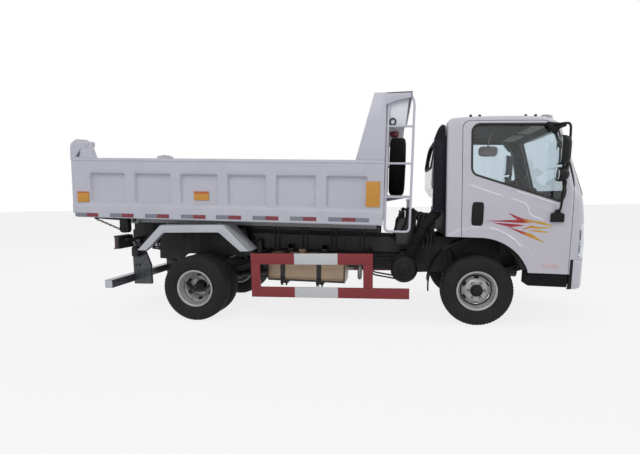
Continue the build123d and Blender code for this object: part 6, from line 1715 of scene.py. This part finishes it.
hub, axis, leftward = np.array(((2.465, 0.43, 1.64), (-0.42, 0.0, 0.9075), (0.0, 1.0, 0.0)))
across = np.cross(axis, leftward)
turn = full_turn(72)[:, None]
rim_path = hub + axis * 0.014 + (np.cos(turn) * leftward + np.sin(turn) * across) * 0.199
wheel = [tube(rim_path, 0.0148 + 0.0008 * np.cos(turn[:, 0] * 36), 14, True),
    turned(((pole, 0.027), (0.044, 0.026), (0.058, 0.02), (0.061, 0.01), (0.058, 0.0005), (pole, 0.0005)), hub, axis,
    40)]
for spoke in ((0.0, 1.0), (0.0, -1.0), (1.0, 0.0)):
    reach = leftward * spoke[1] + across * spoke[0]
    for d in (-0.013, 0.0, 0.013):
        aside = np.cross(axis, reach) * d
        wheel.append(tube((hub + axis * 0.013 + reach * 0.05 + aside,
            hub + axis * 0.014 + reach * 0.192 + aside * 0.7), 0.009, 10))
piece("steering_wheel_rim", wheel, "cab", dark_trim, 45, True, ["steering_wheel"])
stalk = [tube((hub - axis * 0.255, hub - axis * 0.002), np.array((0.036, 0.03)), 28),
    tube((hub - axis * 0.06, hub - axis * 0.055 + (-0.01, 0.15, 0.02)), 0.008, 10),
    tube((hub - axis * 0.06, hub - axis * 0.055 + (-0.01, -0.15, 0.02)), 0.008, 10),
    tube(eased(((2.42, 0.05, 1.06), (2.4, 0.05, 1.18), (2.36, 0.06, 1.335)), 0.05), 0.011, 12),
    turned(((pole, 0.03), (0.016, 0.026), (0.023, 0.01), (0.02, -0.012), (0.011, -0.022)), (2.36, 0.06, 1.35),
    (0, 0, 1), 24), turned(((0.06, -0.01), (0.052, 0.006), (0.04, 0.016), (0.036, 0.026), (0.026, 0.04),
    (0.014, 0.06)), (2.42, 0.05, 1.052), (0, 0, 1), 28)]
piece("column_and_levers", stalk, "cab", dark_trim, 45)

# ---- Room mirror, sun visors --------------------------------------------------------
# A beige-backed mirror hung from the roof on a stem, and two padded visors folded up
# against the headliner above the windscreen.
# The beige of the mirror back and visors is lifted close to white against the shade under the roof: their own beige
# with painted light in it.
lightened_beige = coated("beige moulded backing", "F3E4D6", 0.6, grain=500.0, dent=0.05)
room_mirror = [plate(rounded((1.905, 2.14), (1.96, 2.085), 0.048), -0.012, 0.02, 0.01),
    tube(eased(((2.02, 0.004, 2.075), (2.024, 0.004, 2.16), (2.06, 0.004, 2.272)), 0.04), 0.01, 12)]
piece("room_mirror_back", room_mirror, "cab", lightened_beige, 40)
piece("room_mirror_glass", [plate(rounded((1.915, 2.13), (1.968, 2.077), 0.04), 0.0195, 0.022, 0.001)], "cab",
    mirror_glass, 40)
piece("sun_visors", [plate(rounded((2.33, 2.48), flank(side, 0.1, 0.66), 0.03), 2.222, 2.238, 0.006, "z")
    for side in (-1, 1)], "cab", lightened_beige, 40)

# ---- Seats --------------------------------------------------------------------------
# Foam pads in woven grey cloth on steel boxes: a driver's seat and a bench for two.  Each
# pad is a rounded block that is remeshed, inflated as cloth, capped in how far it may
# swell, and then pressed in along its sewn channels by depth * exp(-(d / width)^2).
def woven(name, thread, gap, scale=115.0):
    """Plain weave: two crossed waves make the threads, which sink where they cross; soft sheen."""
    material, tree, where = fresh(name)
    warp, weft, rise = (add(tree, "ShaderNodeTexWave", {"Vector": where, "Scale": scale, "Distortion": 0.6},
        bands_direction=axis).outputs["Fac"] for axis in "XYZ")
    cross = add(tree, "ShaderNodeMath", {0: warp, 1: weft}, operation="MULTIPLY")
    cloth = add(tree, "ShaderNodeMath", {0: cross.outputs[0], 1: rise}, operation="ADD")
    fade = noise(tree, where, 14.0, 5.0)
    depth = add(tree, "ShaderNodeMath", {0: cloth.outputs[0], 1: fade}, operation="MULTIPLY")
    tone = blend(tree, depth.outputs[0], linear(gap), linear(thread))
    bump = add(tree, "ShaderNodeBump", {"Strength": 0.5, "Distance": 0.0006, "Height": cloth.outputs[0]})
    surfaced(tree, {"Base Color": tone, "Roughness": 0.92, "Sheen Weight": 0.35, "Normal": bump.outputs[0]})
    return material


def stuffed(name, block, material, channels, swell=0.024, replaces=()):
    """A padded piece: remeshed block, 20 frames of pressure, moves capped at swell, channels pressed in."""
    thing = piece(name, [block], "cab", material, 180, True, replaces)
    remesh = thing.modifiers.new("remesh", "REMESH")
    remesh.mode, remesh.voxel_size = "VOXEL", 0.013
    mesh = evaluated(thing)
    thing.modifiers.clear()
    thing.data = mesh
    rest = coordinates(mesh)
    cloth = thing.modifiers.new("cloth", "CLOTH")
    cloth.settings.use_pressure, cloth.settings.uniform_pressure_force = True, 4.0
    cloth.settings.effector_weights.gravity = 0.0
    cloth.settings.quality = 4
    cloth.point_cache.frame_start, cloth.point_cache.frame_end = 1, 20
    for frame_number in range(1, 21):
        scene.frame_set(frame_number)
    moved = coordinates(evaluated(thing)) - rest
    scene.frame_set(1)
    thing.modifiers.clear()
    far = np.linalg.norm(moved, axis=1, keepdims=True)
    rest = rest + moved * np.minimum(1, swell / np.maximum(far, 1e-6))
    mesh.vertices.foreach_set("co", rest.ravel())
    mesh.update()
    smooth = thing.modifiers.new("smooth", "SUBSURF")
    smooth.levels = 1
    finished = evaluated(thing)
    thing.modifiers.clear()
    thing.data = finished
    normals, points = coordinates(finished, "normal"), coordinates(finished)
    for column, place, depth, width in channels:
        away = (points[:, column] - place) / width
        points -= normals * (depth * np.exp(-away ** 2))[:, None]
    finished.vertices.foreach_set("co", points.ravel())
    finished.polygons.foreach_set("use_smooth", [True] * len(finished.polygons))
    finished.update()
    return thing


seat_cloth = woven("grey woven seat cloth", "6B6C70", "2C2D31")
floor_z = 1.045
seats = ("driver", 0.43, 0.215), ("bench", -0.35, 0.405)
for name, y, half in seats:
    seams = [(1, y + side * (half - 0.06), 0.01, 0.007) for side in (-1, 1)]
    if name == "bench":
        seams += [(1, y, 0.012, 0.008)]
    base = plate(rounded((1.56, 2.01), (floor_z + 0.155, floor_z + 0.275), 0.05), y - half, y + half, 0.045)
    stuffed(f"seat_{name}_cushion", base, seat_cloth, seams + [(0, 1.745, 0.008, 0.008), (0, 1.875, 0.008, 0.008)],
        0.024, ["seats"] if name == "driver" else ())
    rest = plate(eased(((1.618, floor_z + 0.325), (1.572, 2.01), (1.52, 2.01), (1.542, floor_z + 0.325)), 0.03, 5),
        y - half, y + half, 0.022)
    stuffed(f"seat_{name}_back", rest, seat_cloth, seams + [(2, 1.62, 0.008, 0.008), (2, 1.84, 0.008, 0.008)], 0.016)
frames = []
for _, y, half in seats:
    half -= 0.01
    frames.append(plate(rounded((1.562, 1.998), (floor_z + 0.001, floor_z + 0.126), 0.015), y - half, y + half,
        0.005))
    frames += [tube(((1.6, y + side * half, floor_z + 0.115), (1.59, y + side * half, floor_z + 0.3)), 0.012, 10)
        for side in (-1, 1)]
piece("seat_frames", frames, "cab", dark_trim, 40)

# ---- Air intake ---------------------------------------------------------------------
# A tall moulded snorkel behind the cab with a rounded cowl and a raised inner panel; a
# corrugated rubber sleeve drops from its foot over the air cleaner's pipe.
snorkel_black = coated("grained black intake plastic", "090D18", 0.5, dust=0.02, grain=420.0, dent=0.06, shine=0.2)
stack = [plate(eased(((1.296, 1.262), (1.404, 1.262), (1.388, 2.16), (1.376, 2.212), (1.35, 2.22), (1.318, 2.19),
    (1.28, 2.08)), 0.03, 5), -0.914, -0.766, 0.014), plate(eased(((1.318, 1.31), (1.386, 1.31), (1.374, 2.01),
    (1.35, 2.03), (1.312, 2.01)), 0.02, 5), -0.9185, -0.905, 0.004),
    plate(((1.375, 1.3), (1.4305, 1.3), (1.406, 2.1), (1.375, 2.1)), -0.884, -0.796, 0.002),
    plate(((1.29, 1.27), (1.41, 1.27), (1.408, 1.296), (1.292, 1.296)), -0.918, -0.762, 0.004)]
for k in range(6):
    z = 2.07 + k * 0.019
    stack.append(brick((1.284 + k * 0.006, 1.383), (-0.9185, -0.912), about(z, 0.004), 0.002))
piece("snorkel_shell", stack, "cab", snorkel_black, 35, True, ["intake_snorkel"])
sleeve = eased(((1.203, -0.8015, 1.083), (1.2166, -0.8085, 1.116), (1.35, -0.84, 1.277)), 0.1, 12)
bellows = [ribbed(sleeve, 0.0575, 0.02, 0.003)]
for at, to in ((sleeve[1], sleeve[2]), (sleeve[-2], sleeve[-1])):
    bellows.append(band(0.058, 0.062, 0.007, 0.001, at, to - at, 36))
piece("snorkel_sleeve", bellows, "cab", hose_rubber, 50)
# A black rubber apron hangs flat on the lower rear wall, full width behind the snorkel's foot: painted shade, a dark
# sheet where the wall would lie in shade.
back_edge = float(back_at(1.15))
shade_sheet = [plate(rounded((-0.935, 0.935), (1.012, 1.3), 0.02), back_edge - 0.01, back_edge - 0.003, 0.001, "x")]
shade_sheet += [bolt((back_edge - 0.009, y, z), (-1, 0, 0), 0.016, 0.007) for y in (-0.9, -0.45, 0.0, 0.45, 0.9)
    for z in (1.04, 1.272)]
piece("cab_rear_apron", shade_sheet, "cab", hose_rubber, 40)
# Behind the cab, on the chassis: relay box, filler pipe with a pale cap, and heater hoses.
block = [plate(rounded((1.165, 1.34), (0.965, 1.185), 0.018), -0.69, -0.5, 0.008),
    plate(rounded((1.158, 1.347), (1.12, 1.15), 0.012), -0.696, -0.494, 0.004),
    brick((1.2, 1.3), (-0.5, -0.378), (0.985, 1.025), 0.004)]
for k, (x, y, r) in enumerate(((1.19, -0.64, 0.016), (1.235, -0.655, 0.014), (1.28, -0.64, 0.018),
        (1.318, -0.6, 0.014))):
    block.append(tube(eased(((x, y, 1.18), (x + 0.01, y - 0.01, 1.255 - 0.012 * k), (x - 0.07, y - 0.05, 1.24),
        (x - 0.1, y - 0.04, 1.06), (x - 0.06, y + 0.04, 0.9)), 0.05, 7), r, 12))
    block.append(tube(eased(((x, y - 0.045, 1.06), (x + 0.02, y - 0.095, 1.02), (x + 0.03, y - 0.085, 0.9),
        (x + 0.02, y + 0.06, 0.82)), 0.05, 7), r * 0.8, 12))
filler = (1.03, -0.5)
block.append(tube(((*filler, 1.262), (*filler, 1.3)), 0.019, 16))
piece("relay_box_and_heater_hoses", block, "chassis", box_black, 45)
piece("filler_pipe", [tube(((*filler, 1.3), (*filler, 1.392)), 0.017, 18),
    turned(((pole, 0.012), (0.02, 0.011), (0.024, 0.006), (0.024, -0.014)), (*filler, 1.392), (0, 0, 1), 20)],
    "chassis", cap_grey, 45)
